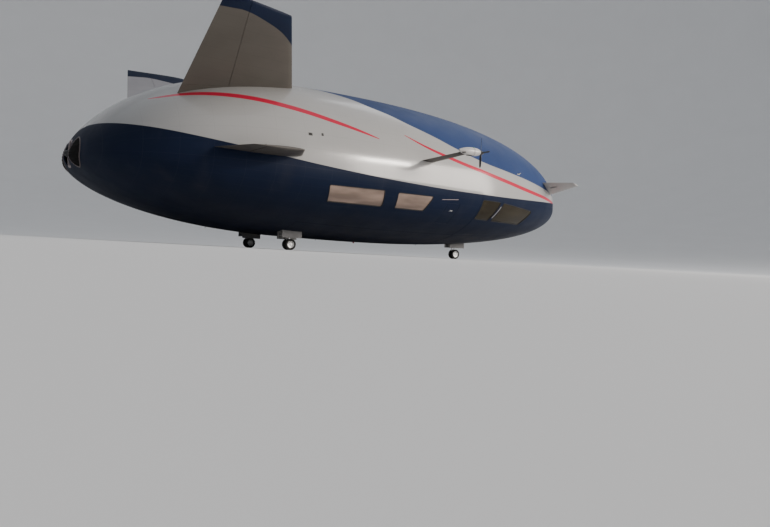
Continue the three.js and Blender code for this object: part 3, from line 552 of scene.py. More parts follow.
def face_out(piece):
    edit_all(piece)
    bpy.ops.mesh.remove_doubles(threshold=0.0002)
    bpy.ops.mesh.normals_make_consistent(inside=False)
    leave_edit()
    return piece


def modify(piece, kind, **settings):
    take_up(piece)
    modifier = piece.modifiers.new(kind.lower(), kind)
    for label, value in settings.items():
        setattr(modifier, label, value)
    bpy.ops.object.modifier_apply(modifier=modifier.name)
    return piece


def bevel(piece, width, segments=2, angle=50):
    return modify(piece, "BEVEL", width=width, segments=segments, limit_method="ANGLE",
                  angle_limit=math.radians(angle), use_clamp_overlap=True)


def smooth(piece, angle=FLAT):
    take_up(piece)
    bpy.ops.object.shade_smooth_by_angle(angle=math.radians(angle))
    return piece


def combine(piece, tool, operation="DIFFERENCE", keep_tool=False):
    modify(piece, "BOOLEAN", operation=operation, object=tool, solver="EXACT")
    if not keep_tool:
        bpy.data.objects.remove(tool)
    return piece


def joined(pieces):
    take_up(pieces[0])
    for piece in pieces:
        piece.select_set(True)
    if len(pieces) > 1:
        bpy.ops.object.join()
    return pieces[0]


def set_together(pieces):
    """One piece out of several, shaded smooth but for its edges."""
    return smooth(joined(pieces))


def about(spot, turn):
    """A turn made about a spot."""
    return Matrix.Translation(spot) @ turn @ Matrix.Translation(-spot)


def copied(piece, turn=None):
    twin = piece.copy()
    twin.data = piece.data.copy()
    bpy.context.collection.objects.link(twin)
    if turn is not None:
        twin.data.transform(turn)
        if turn.determinant() < 0:
            twin.data.flip_normals()
    return twin


def pair(piece, name, body, slot, looks, node=None):
    """The starboard piece and its mirror image to port, each on its own side's body and node."""
    twin = copied(piece, MIRROR)
    for made, side in ((piece, "right"), (twin, "left")):
        kind = f"_{node}" if node else ""
        fit_out(made, f"{name}_{side}{kind}", body.format(side=side), slot, *looks)
        if node:
            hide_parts(f"{name}_{side}")
    return piece, twin


def settled(edge, segments, angle):
    """The piece just added, with its place and size in its mesh, and its edges rounded."""
    bpy.ops.object.transform_apply(location=True, rotation=True, scale=True)
    piece = bpy.context.object
    return bevel(piece, edge, segments, angle) if edge else piece


def block(low, high, edge=0.0, segments=2):
    centre = [(a + b) / 2 for a, b in zip(low, high)]
    size = [b - a for a, b in zip(low, high)]
    deselect()
    bpy.ops.mesh.primitive_cube_add(size=1, location=place(*centre), scale=size)
    return settled(edge, segments, 30)


def slab(x_range, y, half, z_range, edge=0.0, segments=2):
    """A block that reaches as far to each side of a place across the hull."""
    return block((x_range[0], y - half, z_range[0]), (x_range[1], y + half, z_range[1]), edge, segments)


def rod(start, end, radius, end_radius=None, sides=24, edge=0.0):
    a, b = place(*start), place(*end)
    turn = (b - a).to_track_quat("Z", "Y").to_euler()
    end_radius = radius if end_radius is None else end_radius
    deselect()
    bpy.ops.mesh.primitive_cone_add(vertices=sides, radius1=radius, radius2=end_radius, depth=(b - a).length,
                                    location=(a + b) / 2, rotation=turn)
    return settled(edge, 2, 50)


def cross_rod(x, y, half, z, radius, **shape):
    """A rod across the hull, as far to each side of its place."""
    return rod((x, y - half, z), (x, y + half, z), radius, **shape)


def outlined(spots, fill="NGON"):
    """A flat piece with its corners at these spots."""
    deselect()
    bpy.ops.mesh.primitive_circle_add(vertices=len(spots), fill_type=fill)
    piece = bpy.context.object
    for vertex, spot in zip(piece.data.vertices, spots):
        vertex.co = spot
    return piece


def prism(spots, push):
    """A solid from a flat outline and how far it is pushed."""
    piece = outlined(spots)
    edit_all(piece)
    bpy.ops.mesh.extrude_region_move(TRANSFORM_OT_translate={"value": push})
    leave_edit()
    return face_out(piece)


def turned(profile, centre, axis, sides, closed=True):
    """A turned piece: its profile's spots are (distance along the axis, radius)."""
    middle = place(*centre)
    spots = []
    for along, radius in profile:
        step = {"X": (along, 0, radius), "Y": (0, along, radius), "Z": (radius, 0, along)}[axis]
        spots.append(middle + Vector(step))
    piece = outlined(spots, "NOTHING")
    edit_all(piece)
    if not closed:
        bpy.ops.mesh.select_all(action="DESELECT")
        leave_edit()
        piece.data.vertices[0].select = piece.data.vertices[-1].select = True
        bpy.ops.object.mode_set(mode="EDIT")
        bpy.ops.mesh.delete(type="EDGE")
        bpy.ops.mesh.select_all(action="SELECT")
    spin_axis = {"X": (1, 0, 0), "Y": (0, 1, 0), "Z": (0, 0, 1)}[axis]
    bpy.ops.mesh.spin(steps=sides, angle=2 * math.pi, center=middle, axis=spin_axis)
    leave_edit()
    return face_out(piece)


def lofted(rings):
    """A closed form through rings of as many spots each: a disc, extruded from each ring to the next."""
    piece = outlined(rings[0])
    edit_all(piece)
    leave_edit()
    for before, ring in zip(rings, rings[1:]):
        bpy.ops.object.mode_set(mode="EDIT")
        bpy.ops.mesh.extrude_region_move(TRANSFORM_OT_translate={"value": (0, 0, 0)})
        leave_edit()
        for vertex in piece.data.vertices:
            if vertex.select:
                nearest = min(range(len(before)), key=lambda i: (before[i] - vertex.co).length_squared)
                vertex.co = ring[nearest]
    return face_out(piece)


def around(piece, count, centre, axis="X"):
    """Copies of a piece set evenly round an axis, the first left where it is."""
    turns = [Matrix.Rotation(2 * math.pi * k / count, 4, axis) for k in range(1, count)]
    return [piece, *(copied(piece, about(place(*centre), turn)) for turn in turns)]


def strip_along(spots, radius, cyclic=False):
    """A round strip along spots given in the hull's frame."""
    deselect()
    bpy.ops.curve.primitive_bezier_circle_add()
    strip = bpy.context.object
    strip.data.splines.clear()
    path = strip.data.splines.new("POLY")
    path.points.add(len(spots) - 1)
    path.use_cyclic_u = cyclic
    for point, spot in zip(path.points, spots):
        point.co = (*place(*spot), 1)
    strip.data.dimensions = "3D"
    strip.data.bevel_depth = radius
    strip.data.bevel_resolution = 3
    strip.data.use_fill_caps = not cyclic
    take_up(strip)
    bpy.ops.object.convert(target="MESH")
    strip = bpy.context.object
    bpy.ops.object.transform_apply(location=True, rotation=True, scale=True)
    return smooth(strip, 60)


# Wings and blades

def aerofoil(share):
    """Half the thickness at a share of the chord, for a section one unit thick."""
    bulge = 0.2969 * math.sqrt(share) - 0.126 * share
    bulge += -0.3516 * share**2 + 0.2843 * share**3 - 0.1036 * share**4
    return max(5 * bulge, 0.025 if share > 0.5 else 0.0)


def section_ring(fore, aft, normal, thickness, steps=14, inset=0.0):
    shares = [0.5 - 0.5 * math.cos(math.pi * i / steps) for i in range(steps + 1)]

    def spot(share, side):
        along = inset + (1 - 2 * inset) * share
        return fore + (aft - fore) * along + normal * (side * aerofoil(share) * thickness)

    return [spot(share, 1) for share in shares] + [spot(share, -1) for share in reversed(shares[1:])]


def wing(shape, deeper=0.0):
    """A smooth wing with a rounded tip, its root carried into the hull, and the normal of its faces."""
    root_fore, root_aft = place(*shape["root_fore"]), place(*shape["root_aft"])
    tip_fore, tip_aft = place(*shape["tip_fore"]), place(*shape["tip_aft"])
    normal = (root_aft - root_fore).cross(tip_fore - root_fore).normalized()
    stations = [(-deeper, 1.0, 0.0), (0.0, 1.0, 0.0), (0.35, 1.0, 0.0), (0.7, 1.0, 0.0), (0.975, 1.0, 0.0),
                (0.99, 0.8, 0.003), (0.997, 0.55, 0.008), (1.0, 0.35, 0.014)]
    rings = []
    for share, plump, inset in stations:
        thickness = shape["root_thick"] + (shape["tip_thick"] - shape["root_thick"]) * share
        fore, aft = root_fore.lerp(tip_fore, share), root_aft.lerp(tip_aft, share)
        rings.append(section_ring(fore, aft, normal, thickness * plump, inset=inset))
    return lofted(rings), normal


def screw_blade(plane, hub, radius, chords, thickness, centre, twist):
    """One twisted blade standing up from its hub, its pitch falling towards the tip."""
    steps, foot = 8, hub * 0.8
    rings = []
    _, y, z = centre
    for k in range(steps + 1):
        share = k / steps
        chord = chords[0] + (chords[1] - chords[0]) * share
        chord *= 0.75 + 0.9 * share * (1 - share) + 0.25 * share
        if k == steps:
            chord *= 0.45
        angle = BLADE_PITCH + twist * (0.5 - share)
        along = Vector((math.sin(angle), math.cos(angle), 0)) * chord / 2
        normal = Vector((math.cos(angle), -math.sin(angle), 0))
        middle = place(plane, y, z + foot + (radius - foot) * share)
        thick = thickness * (1 - 0.6 * share)
        rings.append(section_ring(middle + along, middle - along, normal, thick, steps=8))
    return smooth(lofted(rings), 50)


# The hull's form

def fullness(x, outline):
    reach, peak, fore, aft = outline
    power, root = fore if x > peak else aft
    run = abs(x - peak) / (HALF_LENGTH - peak if x > peak else HALF_LENGTH + peak)
    return reach * max(0.0, 1 - min(1.0, run) ** power) ** (1 / root)


def section(x):
    t = x / HALF_LENGTH
    return fullness(x, PLAN), fullness(x, CROWN), fullness(x, KEEL), DROOP * t + SAG * t * t


def hull_point(x, degrees):
    width, up, down, middle = section(x)
    c, s = math.cos(math.radians(degrees)), math.sin(math.radians(degrees))
    power = 2 / (UPPER_POWER if s >= 0 else LOWER_POWER)
    y = 0.0 if abs(c) < 1e-9 else width * math.copysign(abs(c) ** power, c)
    z = 0.0 if abs(s) < 1e-9 else (up if s > 0 else down) * math.copysign(abs(s) ** power, s)
    return Vector((x, y, middle + z))


def arch(x, z):
    """The hull's section at a height: its half width, the rise, the reach and the power of its curve."""
    width, up, down, middle = section(x)
    reach, power = (up, UPPER_POWER) if z >= middle else (down, LOWER_POWER)
    return width, abs(z - middle), reach, power


def beyond(x, y, z):
    """How far a spot is outside the skin, nought on it and less inside."""
    width, rise, reach, power = arch(x, z)
    return (abs(y) / max(width, 1e-9)) ** power + (rise / max(reach, 1e-9)) ** power - 1


def outward(point):
    """The skin's own direction out of the hull at a spot on it."""
    x, y, z = point
    if abs(x) > HALF_LENGTH - 1e-4:
        return Vector((math.copysign(1, x), 0, 0))
    step = 0.0004
    return Vector((beyond(x + step, y, z) - beyond(x - step, y, z),
                   beyond(x, y + step, z) - beyond(x, y - step, z),
                   beyond(x, y, z + step) - beyond(x, y, z - step))).normalized()


def beam(x, z):
    """Half the hull's width at a height."""
    width, rise, reach, power = arch(x, z)
    return width * max(0.0, 1 - (rise / reach) ** power) ** (1 / power)


def underside(x, y):
    width, _, down, middle = section(x)
    return middle - down * max(0.0, 1 - (abs(y) / width) ** LOWER_POWER) ** (1 / LOWER_POWER)


def on_side(x, z, proud=0.0):
    """A spot on the starboard side, stood off the skin."""
    point = Vector((x, -beam(x, z), z))
    return point + outward(point) * proud


def side_line(start, end, steps, proud):
    """Spots evenly between two (along, up) spots of the starboard side, stood off the skin."""
    along, up = end[0] - start[0], end[1] - start[1]
    return [on_side(start[0] + along * k / steps, start[1] + up * k / steps, proud) for k in range(steps + 1)]


def on_stern(y, z, proud):
    """A spot on the blunt end of the stern, stood off the skin."""
    aft, fore = -HALF_LENGTH, -10.0
    for _ in range(40):
        x = (aft + fore) / 2
        aft, fore = (x, fore) if beyond(x, y, z) > 0 else (aft, x)
    point = Vector((aft, y, z))
    return point + outward(point) * proud


def hull_panel(x_range, angles, counts, thickness, depth=0.0):
    """A sheet of the hull laid over part of its skin, given its thickness inwards."""
    ends = [math.acos(max(-1.0, min(1.0, -x / HALF_LENGTH))) for x in x_range]
    deselect()
    bpy.ops.mesh.primitive_grid_add(x_subdivisions=counts[0], y_subdivisions=counts[1], size=1)
    panel = bpy.context.object
    turns = []
    for vertex in panel.data.vertices:
        u, v = vertex.co.x + 0.5, vertex.co.y + 0.5
        x = -HALF_LENGTH * math.cos(ends[0] + (ends[1] - ends[0]) * u)
        degrees = angles[1] - (angles[1] - angles[0]) * v
        point = hull_point(x, degrees)
        vertex.co = place(*(point - outward(point) * depth if depth else point))
        turns.append((x / (2 * HALF_LENGTH) + 0.5, degrees / 360))
    for loop in panel.data.loops:
        panel.data.uv_layers[0].data[loop.index].uv = turns[loop.vertex_index]
    edit_all(panel)
    bpy.ops.mesh.remove_doubles(threshold=0.0003)
    leave_edit()
    return modify(panel, "SOLIDIFY", thickness=thickness, offset=-1.0)


def line_inside(panel):
    """The panel's inner faces get its lining, which is its second material."""
    for face in panel.data.polygons:
        centre = face.center - Vector((CENTRING, 0, HUB_RIDE))
        if face.normal.dot(outward(centre)) < -0.5:
            face.material_index = 1


# Openings in the hull's sides

def offset_outline(corners, margin):
    """The outline with each edge moved out by a margin."""
    area = sum(a[0] * b[1] - b[0] * a[1] for a, b in zip(corners, corners[1:] + corners[:1]))
    turn = math.copysign(1, area)
    edges = []
    for start, end in zip(corners, corners[1:] + corners[:1]):
        along = (Vector(end) - Vector(start)).normalized()
        edges.append((Vector(start) + Vector((along.y, -along.x)) * margin * turn, along))
    moved = []
    for (p, d), (q, e) in zip(edges[-1:] + edges[:-1], edges):
        cross = d.x * e.y - d.y * e.x
        moved.append(tuple(p + d * (((q.x - p.x) * e.y - (q.y - p.y) * e.x) / cross)))
    return moved


def rounded_outline(corners, radius):
    steps = 6
    spots = []
    for i, corner in enumerate(corners):
        corner = Vector(corner)
        before, after = Vector(corners[i - 1]), Vector(corners[(i + 1) % len(corners)])
        back, ahead = (before - corner).normalized(), (after - corner).normalized()
        half = back.angle(ahead) / 2
        middle = corner + (back + ahead).normalized() * (radius / math.sin(half))
        start = corner + back * (radius / math.tan(half)) - middle
        end = corner + ahead * (radius / math.tan(half)) - middle
        sweep = -start.angle_signed(end)
        for k in range(steps + 1):
            angle = sweep * k / steps
            spots.append((middle.x + start.x * math.cos(angle) - start.y * math.sin(angle),
                          middle.y + start.x * math.sin(angle) + start.y * math.cos(angle)))
    return spots


def followed(outline, longest=0.12):
    """The outline with its long edges divided, so that a strip can follow the hull's curve."""
    spots = []
    for a, b in zip(outline, outline[1:] + outline[:1]):
        count = max(1, math.ceil(math.dist(a, b) / longest))
        for k in range(count):
            spots.append((a[0] + (b[0] - a[0]) * k / count, a[1] + (b[1] - a[1]) * k / count))
    return spots


def side_prism(outline):
    """A prism through the starboard side, from an outline of (along, up) spots."""
    near, far = 1.5, 10.5
    return prism([place(x, -near, z) for x, z in outline], (0, near - far, 0))


def door_outline(jamb, clearance):
    aft, fore = DOOR["aft"] + jamb, DOOR["fore"] - jamb
    top, sill = DOOR["top"] - clearance, DOOR["sill"] + clearance
    return rounded_outline([(aft, top), (fore, top), (fore, sill), (aft, sill)], DOOR["corner"])


def hinge_rods(start, end, radius):
    """Rods along the door's hinge line, from start to end beside each knuckle's middle."""
    aft, fore = Vector(DOOR_HINGE[0]), Vector(DOOR_HINGE[1])

    def at(x):
        return aft.lerp(fore, (x - aft.x) / (fore.x - aft.x))

    return joined([rod(at(x + start), at(x + end), radius) for x in KNUCKLES["at"]])


def bay_half(gear):
    return gear["track"] + gear["width"] / 2 + 0.09


def bay_hole(gear):
    reach, half = BAY_REACH + SNUG, bay_half(gear) + SNUG
    return slab((gear["x"] - reach, gear["x"] + reach), gear["y"], half, (BAY_FOOT, BAY_TOP + SNUG))


# Hull, windows and doors

def make_envelope():
    z = THRUSTER["z"]
    duct_hole = rod((BEHIND, 0, z), (THRUSTER["fore"], 0, z), THRUSTER["outer"] + SNUG, sides=96)
    for node, aft, fore, steps in (("envelope_aft", -HALF_LENGTH, AFT_JOINT, 72),
                                   ("envelope_mid", AFT_JOINT, FORE_JOINT, 56),
                                   ("envelope_fore", FORE_JOINT, HALF_LENGTH, 72)):
        skin = hull_panel((aft, fore), (0, 180), (steps, 96), ENVELOPE)
        if node == "envelope_aft":
            combine(skin, duct_hole, keep_tool=True)
        fit_out(smooth(skin), f"{node}_skin", "hull", "envelope_white", "livery")
        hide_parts(node)
    stern = hull_panel((-HALF_LENGTH, AFT_JOINT), (180, 360), (72, 96), WALL)
    combine(stern, duct_hole)
    fit_out(smooth(stern), "hull_stern_skin", "hull", "hull_navy", "livery")
    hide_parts("hull_stern")


def make_walls():
    amidships, bow = (AFT_JOINT, FORE_JOINT), (FORE_JOINT, HALF_LENGTH)
    for node, x_range, room, lining in (("cabin_wall", amidships, "lounge", "lining"),
                                        ("bow_wall", bow, "cockpit", "dark_lining")):
        wall = hull_panel(x_range, (180, 180 + WALL_DROP), (110, 34), WALL)
        for look in ("livery", lining):
            wall.data.materials.append(finishes[look])
        line_inside(wall)
        for end in ("aft", "fore"):
            corners, radius = WINDOWS[f"{room}_window_{end}"]
            combine(wall, side_prism(rounded_outline(corners, radius)))
        if node == "cabin_wall":
            combine(wall, side_prism(door_outline(0.0, 0.0)))
            # A groove along the sill gives the turning leaf a little room.
            combine(wall, rod(*DOOR_HINGE, SILL_GROOVE))
            gap, reach = KNUCKLES["half"] + SNUG, KNUCKLES["wall_half"]
            combine(wall, hinge_rods(-gap, gap, KNUCKLES["carve"]))
            for start, end in ((-reach, -gap), (gap, reach)):
                combine(wall, hinge_rods(start, end, KNUCKLES["radius"]), "UNION")
        smooth(bevel(wall, 0.005))
        pair(wall, node, "hull", "hull_navy", [], "skin")
    for node, x_range, gears in (("belly_mid", amidships, GEAR[1:]), ("belly_bow", bow, GEAR[:1])):
        belly = hull_panel(x_range, (180 + WALL_DROP, 360 - WALL_DROP), (90, 60), WALL)
        fit_out(belly, f"{node}_skin", "hull", "hull_navy", "livery", "lining")
        line_inside(belly)
        for gear in gears:
            combine(belly, bay_hole(gear))
        smooth(bevel(belly, 0.004))
        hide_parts(node)


def make_windows():
    for node, (corners, radius) in WINDOWS.items():
        low, high = min(x for x, _ in corners) - 0.1, max(x for x, _ in corners) + 0.1
        glass = "cockpit_glass" if node.startswith("cockpit") else "lounge_glass"
        pane = hull_panel((low, high), (180, 180 + WALL_DROP), (48, 24), 0.024, depth=0.018)
        combine(pane, side_prism(rounded_outline(offset_outline(corners, -0.0006), radius)), "INTERSECT")
        pair(smooth(pane), node, "hull", "glazing", [glass], "pane")
        # A seal round the frame, and a gasket between the frame and the pane.
        rings = []
        for margin, proud, thick in ((0.010, 0.002, 0.016), (-0.008, -0.016, 0.009)):
            edge = followed(rounded_outline(offset_outline(corners, margin), radius + margin))
            rings.append(strip_along([on_side(x, z, proud) for x, z in edge], thick, cyclic=True))
        pair(joined(rings), f"{node}_seal", "hull", "hull_navy", ["rubber"])
    # A white strip along the lower part of the post between the cockpit panes: a painted glint.
    glint_post = strip_along(side_line((7.30, -0.80), (7.00, -1.48), 8, 0.004), 0.020)
    pair(glint_post, "cockpit_window_post", "hull", "hull_navy", ["white"])


def make_doors():
    leaf = hull_panel((DOOR["aft"] - 0.1, DOOR["fore"] + 0.1), (180, 180 + WALL_DROP), (24, 60), WALL)
    combine(leaf, side_prism(door_outline(DOOR["jamb"], DOOR["clearance"])), "INTERSECT")
    half, reach = KNUCKLES["half"], KNUCKLES["wall_half"] + 0.003
    for start, end in ((-reach, -half), (half, reach)):
        combine(leaf, hinge_rods(start, end, KNUCKLES["carve"]))
    combine(leaf, hinge_rods(-half, half, KNUCKLES["radius"]), "UNION")
    smooth(bevel(leaf, 0.005))
    faces = ["livery", "lining"]
    for made in pair(leaf, "boarding_door", "door_{side}", "hull_navy", faces, "leaf"):
        line_inside(made)
    # Rungs on the leaf's inner face, which are steps once the door is down.
    rungs = [strip_along(side_line((3.18, z), (3.82, z), 8, -WALL - 0.018), 0.024)
             for z in RUNG_HEIGHTS]
    pair(joined(rungs), "door_rungs", "door_{side}", "hull_navy", ["grey"])
    grip = [on_side(3.40 + 0.20 * k / 6, -1.30, 0.004 + 0.022 * math.sin(math.pi * k / 6)) for k in range(7)]
    plate = side_line((3.36, -1.36), (3.64, -1.36), 6, 0.001)
    handle = joined([strip_along(grip, 0.008), strip_along(plate, 0.006)])
    pair(handle, "door_handle", "door_{side}", "hull_navy", ["alloy"])
    rail = strip_along(side_line((2.55, -0.79), (3.70, -0.70), 10, 0.004), 0.013)
    pair(rail, "door_drip_rail", "hull", "hull_navy", ["pale_lip"])


# Tail, foreplanes and engines

def hinge_frame():
    low = Vector(FIN["root_fore"]).lerp(Vector(FIN["root_aft"]), RUDDER["root_share"])
    high = Vector(FIN["tip_fore"]).lerp(Vector(FIN["tip_aft"]), RUDDER["tip_share"])
    up = (high - low).normalized()
    chord = Vector(FIN["root_aft"]) - Vector(FIN["root_fore"])
    normal = up.cross(chord).normalized()
    return low, up, normal.cross(up), normal, (high - low).length


def hinge_block(start, end):
    """A block in the rudder hinge's frame: along the hinge, aft of it, and across it."""
    low, up, aft, normal, _ = hinge_frame()
    turn = Matrix((up, aft, normal)).transposed().to_4x4()
    tool = block((0, 0, 0), (1, 1, 1))
    size = [b - a for a, b in zip(start, end)]
    shape = Matrix.Translation(start) @ Matrix.Diagonal((*size, 1))
    tool.data.transform(Matrix.Translation(place(*low)) @ turn @ shape @ Matrix.Translation(-place(0, 0, 0)))
    return face_out(tool)


def hinge_nose(start, grow):
    low, up, _, _, span = hinge_frame()
    root, tip = 0.3625 * FIN["root_thick"], 0.35 * FIN["tip_thick"]
    end = span + RUDDER["past"]
    radii = [root + (tip - root) * s / span + grow for s in (start, end)]
    return rod(low + up * start, low + up * end, radii[0], radii[1], sides=48)


def make_fins():
    low, up, aft, _, span = hinge_frame()
    running, cuff, pin = RUDDER["running"], RUDDER["cuff"], RUDDER["pin"]
    floor, end = cuff - running, span + RUDDER["past"]
    fin, outer_face = wing(FIN, deeper=0.25)
    rudder = copied(fin)
    nose = combine(hinge_nose(cuff, -0.003), copied(fin), "INTERSECT")
    combine(rudder, hinge_block((cuff, 0, -0.9), (end, 4.0, 0.9)), "INTERSECT")
    combine(rudder, nose, "UNION")
    pin_foot, pin_head = low + up * (floor - 0.06), low + up * (cuff + 0.06)
    combine(rudder, rod(pin_foot, pin_head, pin, sides=20), "UNION")
    combine(fin, hinge_block((floor, -0.030, -0.9), (end, 4.0, 0.9)))
    combine(fin, hinge_nose(floor, running))
    combine(fin, rod(pin_foot - up * 0.001, pin_head, pin + 0.001, sides=20))
    # The outboard faces look down and get the fin paint's darker copy, painted shade; the inboard faces get
    # its lighter copy, painted light.
    outer_face = outer_face if outer_face.z < 0 else -outer_face
    paints = ["fin_light", "fin_shade"]
    for piece, name, body in ((fin, "fin", "hull"), (rudder, "rudder", "rudder_{side}")):
        both = pair(smooth(piece), name, body, "composite_white", paints, "skin")
        for made, sign in zip(both, (1, -1)):
            facing = Vector((outer_face.x, outer_face.y * sign, outer_face.z))
            for face in made.data.polygons:
                face.material_index = 1 if face.normal.dot(facing) > -0.45 else 0
    fairings = []
    for share in (0.30, 0.72):
        middle = low + up * (cuff + (span - cuff) * share) + outer_face * (0.10 - 0.05 * share)
        fairings.append(rod(middle - aft * 0.26, middle - aft * 0.06, 0.022, 0.034, sides=20, edge=0.016))
    fairing = joined(fairings)
    pair(fairing, "rudder_actuator_fairing", "hull", "composite_white", ["plane_shade"])


def make_planes():
    # The tailplane's dark paint is painted shade.
    tailplane, _ = wing(TAILPLANE, deeper=0.3)
    pair(smooth(tailplane), "tailplane", "hull", "composite_white", ["plane_shade"], "skin")
    lines = []
    for side in (1, -1):
        spots = [(-8.95 + 0.02 * k, -9.05 - 0.22 * k, 0.68 + 0.005 * k + side * (0.105 - 0.0055 * k))
                 for k in range(9)]
        lines.append(strip_along(spots, 0.007))
    pair(joined(lines), "tailplane_tab_seal", "hull", "composite_white", ["rubber"])

    root, _ = wing(CANARD, deeper=0.4)
    plane = copied(root)
    x, y, z = CANARD_PIVOT

    def pivot_rod(start, end, radius, end_radius=None, rise=0.0):
        return rod((x, y + start, z), (x, y + end, z + rise), radius, end_radius, sides=32)

    combine(root, block((11, CANARD_SPLIT, -1.5), (15, -3.0, 2.5)), "INTERSECT")
    combine(plane, block((11, -9.0, -1.5), (15, CANARD_SPLIT - CANARD_RUNNING, 2.5)), "INTERSECT")
    # The pivot runs below the plane, so each side of the split has a tapered boss over it.
    for piece, way, start, middle in ((root, 1, 0.0, 0.22), (plane, -1, CANARD_RUNNING, 0.14)):
        combine(piece, pivot_rod(way * start, way * middle, 0.062), "UNION")
        near, far = way * (middle - 0.001), way * (middle + 0.20)
        combine(piece, pivot_rod(near, far, 0.0615, 0.014, rise=0.03), "UNION")
    combine(root, pivot_rod(-0.02, 0.19, SPIGOT + 0.001))
    combine(plane, pivot_rod(-0.12, 0.18, SPIGOT), "UNION")
    for piece, name, body in ((root, "canard_root", "hull"), (plane, "canard", "canard_{side}")):
        smooth(bevel(piece, 0.003, 2, 60))
        pair(piece, name, body, "composite_white", ["plane_grey"], "skin")


def make_engines():
    y, z, aft, fore, radius = (NACELLE[key] for key in ("y", "z", "aft", "fore", "radius"))

    def on_axis(profile, sides=48):
        return turned(profile, (0, y, z), "X", sides)

    profile = [
        (aft, 0.0), (aft, 0.055), (aft + 0.01, 0.070), (aft + 0.13, 0.116), (aft + 0.26, 0.154),
        (aft + 0.42, 0.190), (aft + 0.60, radius - 0.003), (aft + 0.76, radius), (fore - 0.38, radius),
        (fore - 0.24, radius - 0.012), (fore - 0.12, 0.178), (fore - 0.05, 0.150), (fore - 0.012, 0.128),
        (fore, 0.118), (fore, 0.060), (fore - 0.02, 0.044), (fore - 0.071, 0.0415), (fore - 0.071, 0.0),
    ]
    nacelle = on_axis(profile)
    # Slats in the two intakes, vents below, exhaust stubs, and bands where the cowl opens.
    louvres = []
    for middle in (z - 0.085, z + 0.085):
        combine(nacelle, slab((fore - 0.20, fore + 0.05), y, 0.06, (middle - 0.018, middle + 0.018)))
        for k in range(3):
            low = middle - 0.012 + 0.012 * k
            louvres.append(slab((fore - 0.17, fore - 0.10), y, 0.058, (low - 0.002, low + 0.002)))
    pair(smooth(nacelle, 35), "nacelle", "hull", "composite_white", ["white"], "cowl")
    under = z - radius
    for k in range(5):
        x = aft + 0.50 + 0.055 * k
        louvres.append(slab((x, x + 0.030), y, 0.09, (under - 0.004, under + 0.022), 0.004))
    for side in (-1, 1):
        start, end = (aft + 0.30, y + side * 0.165, z - 0.09), (aft + 0.08, y + side * 0.195, z - 0.12)
        louvres.append(rod(start, end, 0.028, sides=20, edge=0.004))
    inner, outer = radius - 0.004, radius + 0.0025
    for x in (aft + 0.80, fore - 0.42):
        louvres.append(on_axis([(x, inner), (x, outer), (x + 0.012, outer), (x + 0.012, inner)]))
    pair(joined(louvres), "nacelle_louvres", "hull", "composite_white", ["dark"])
    arm, _ = wing(PYLON, deeper=0.3)
    solid = [(at, reach + 2 * SNUG if reach else 0.0) for at, reach in profile[:14]] + [(fore, 0.0)]
    combine(arm, on_axis(solid))
    pair(smooth(arm), "pylon", "hull", "composite_white", ["arm_shade"], "skin")

    nose, plane, hub = PROPELLER["nose"], PROPELLER["plane"], PROPELLER["hub"]
    blade = screw_blade(plane, hub, PROPELLER["radius"], (0.125, 0.095), 0.030, (0, y, z), 0.35)
    spinner = on_axis([
        (fore + 0.010, 0.0), (fore + 0.010, 0.108), (fore + 0.014, 0.115), (plane, 0.114),
        (plane + 0.06, 0.104), (plane + 0.12, 0.080), (plane + 0.165, 0.050), (nose - 0.006, 0.018),
        (nose, 0.0),
    ], 40)
    shaft = rod((fore - 0.07, y, z), (fore + 0.04, y, z), 0.040)
    cuff = turned([(0.100, 0.0), (0.100, 0.024), (0.150, 0.019), (0.150, 0.0)], (plane, y, z), "Z", 20)
    screw = [smooth(spinner), smooth(shaft)]
    for part in (blade, smooth(cuff)):
        screw += around(part, PROPELLER["blades"], (0, y, z))
    pair(joined(screw), "propeller", "propeller_{side}", "blade_black", ["blade"], "screw")


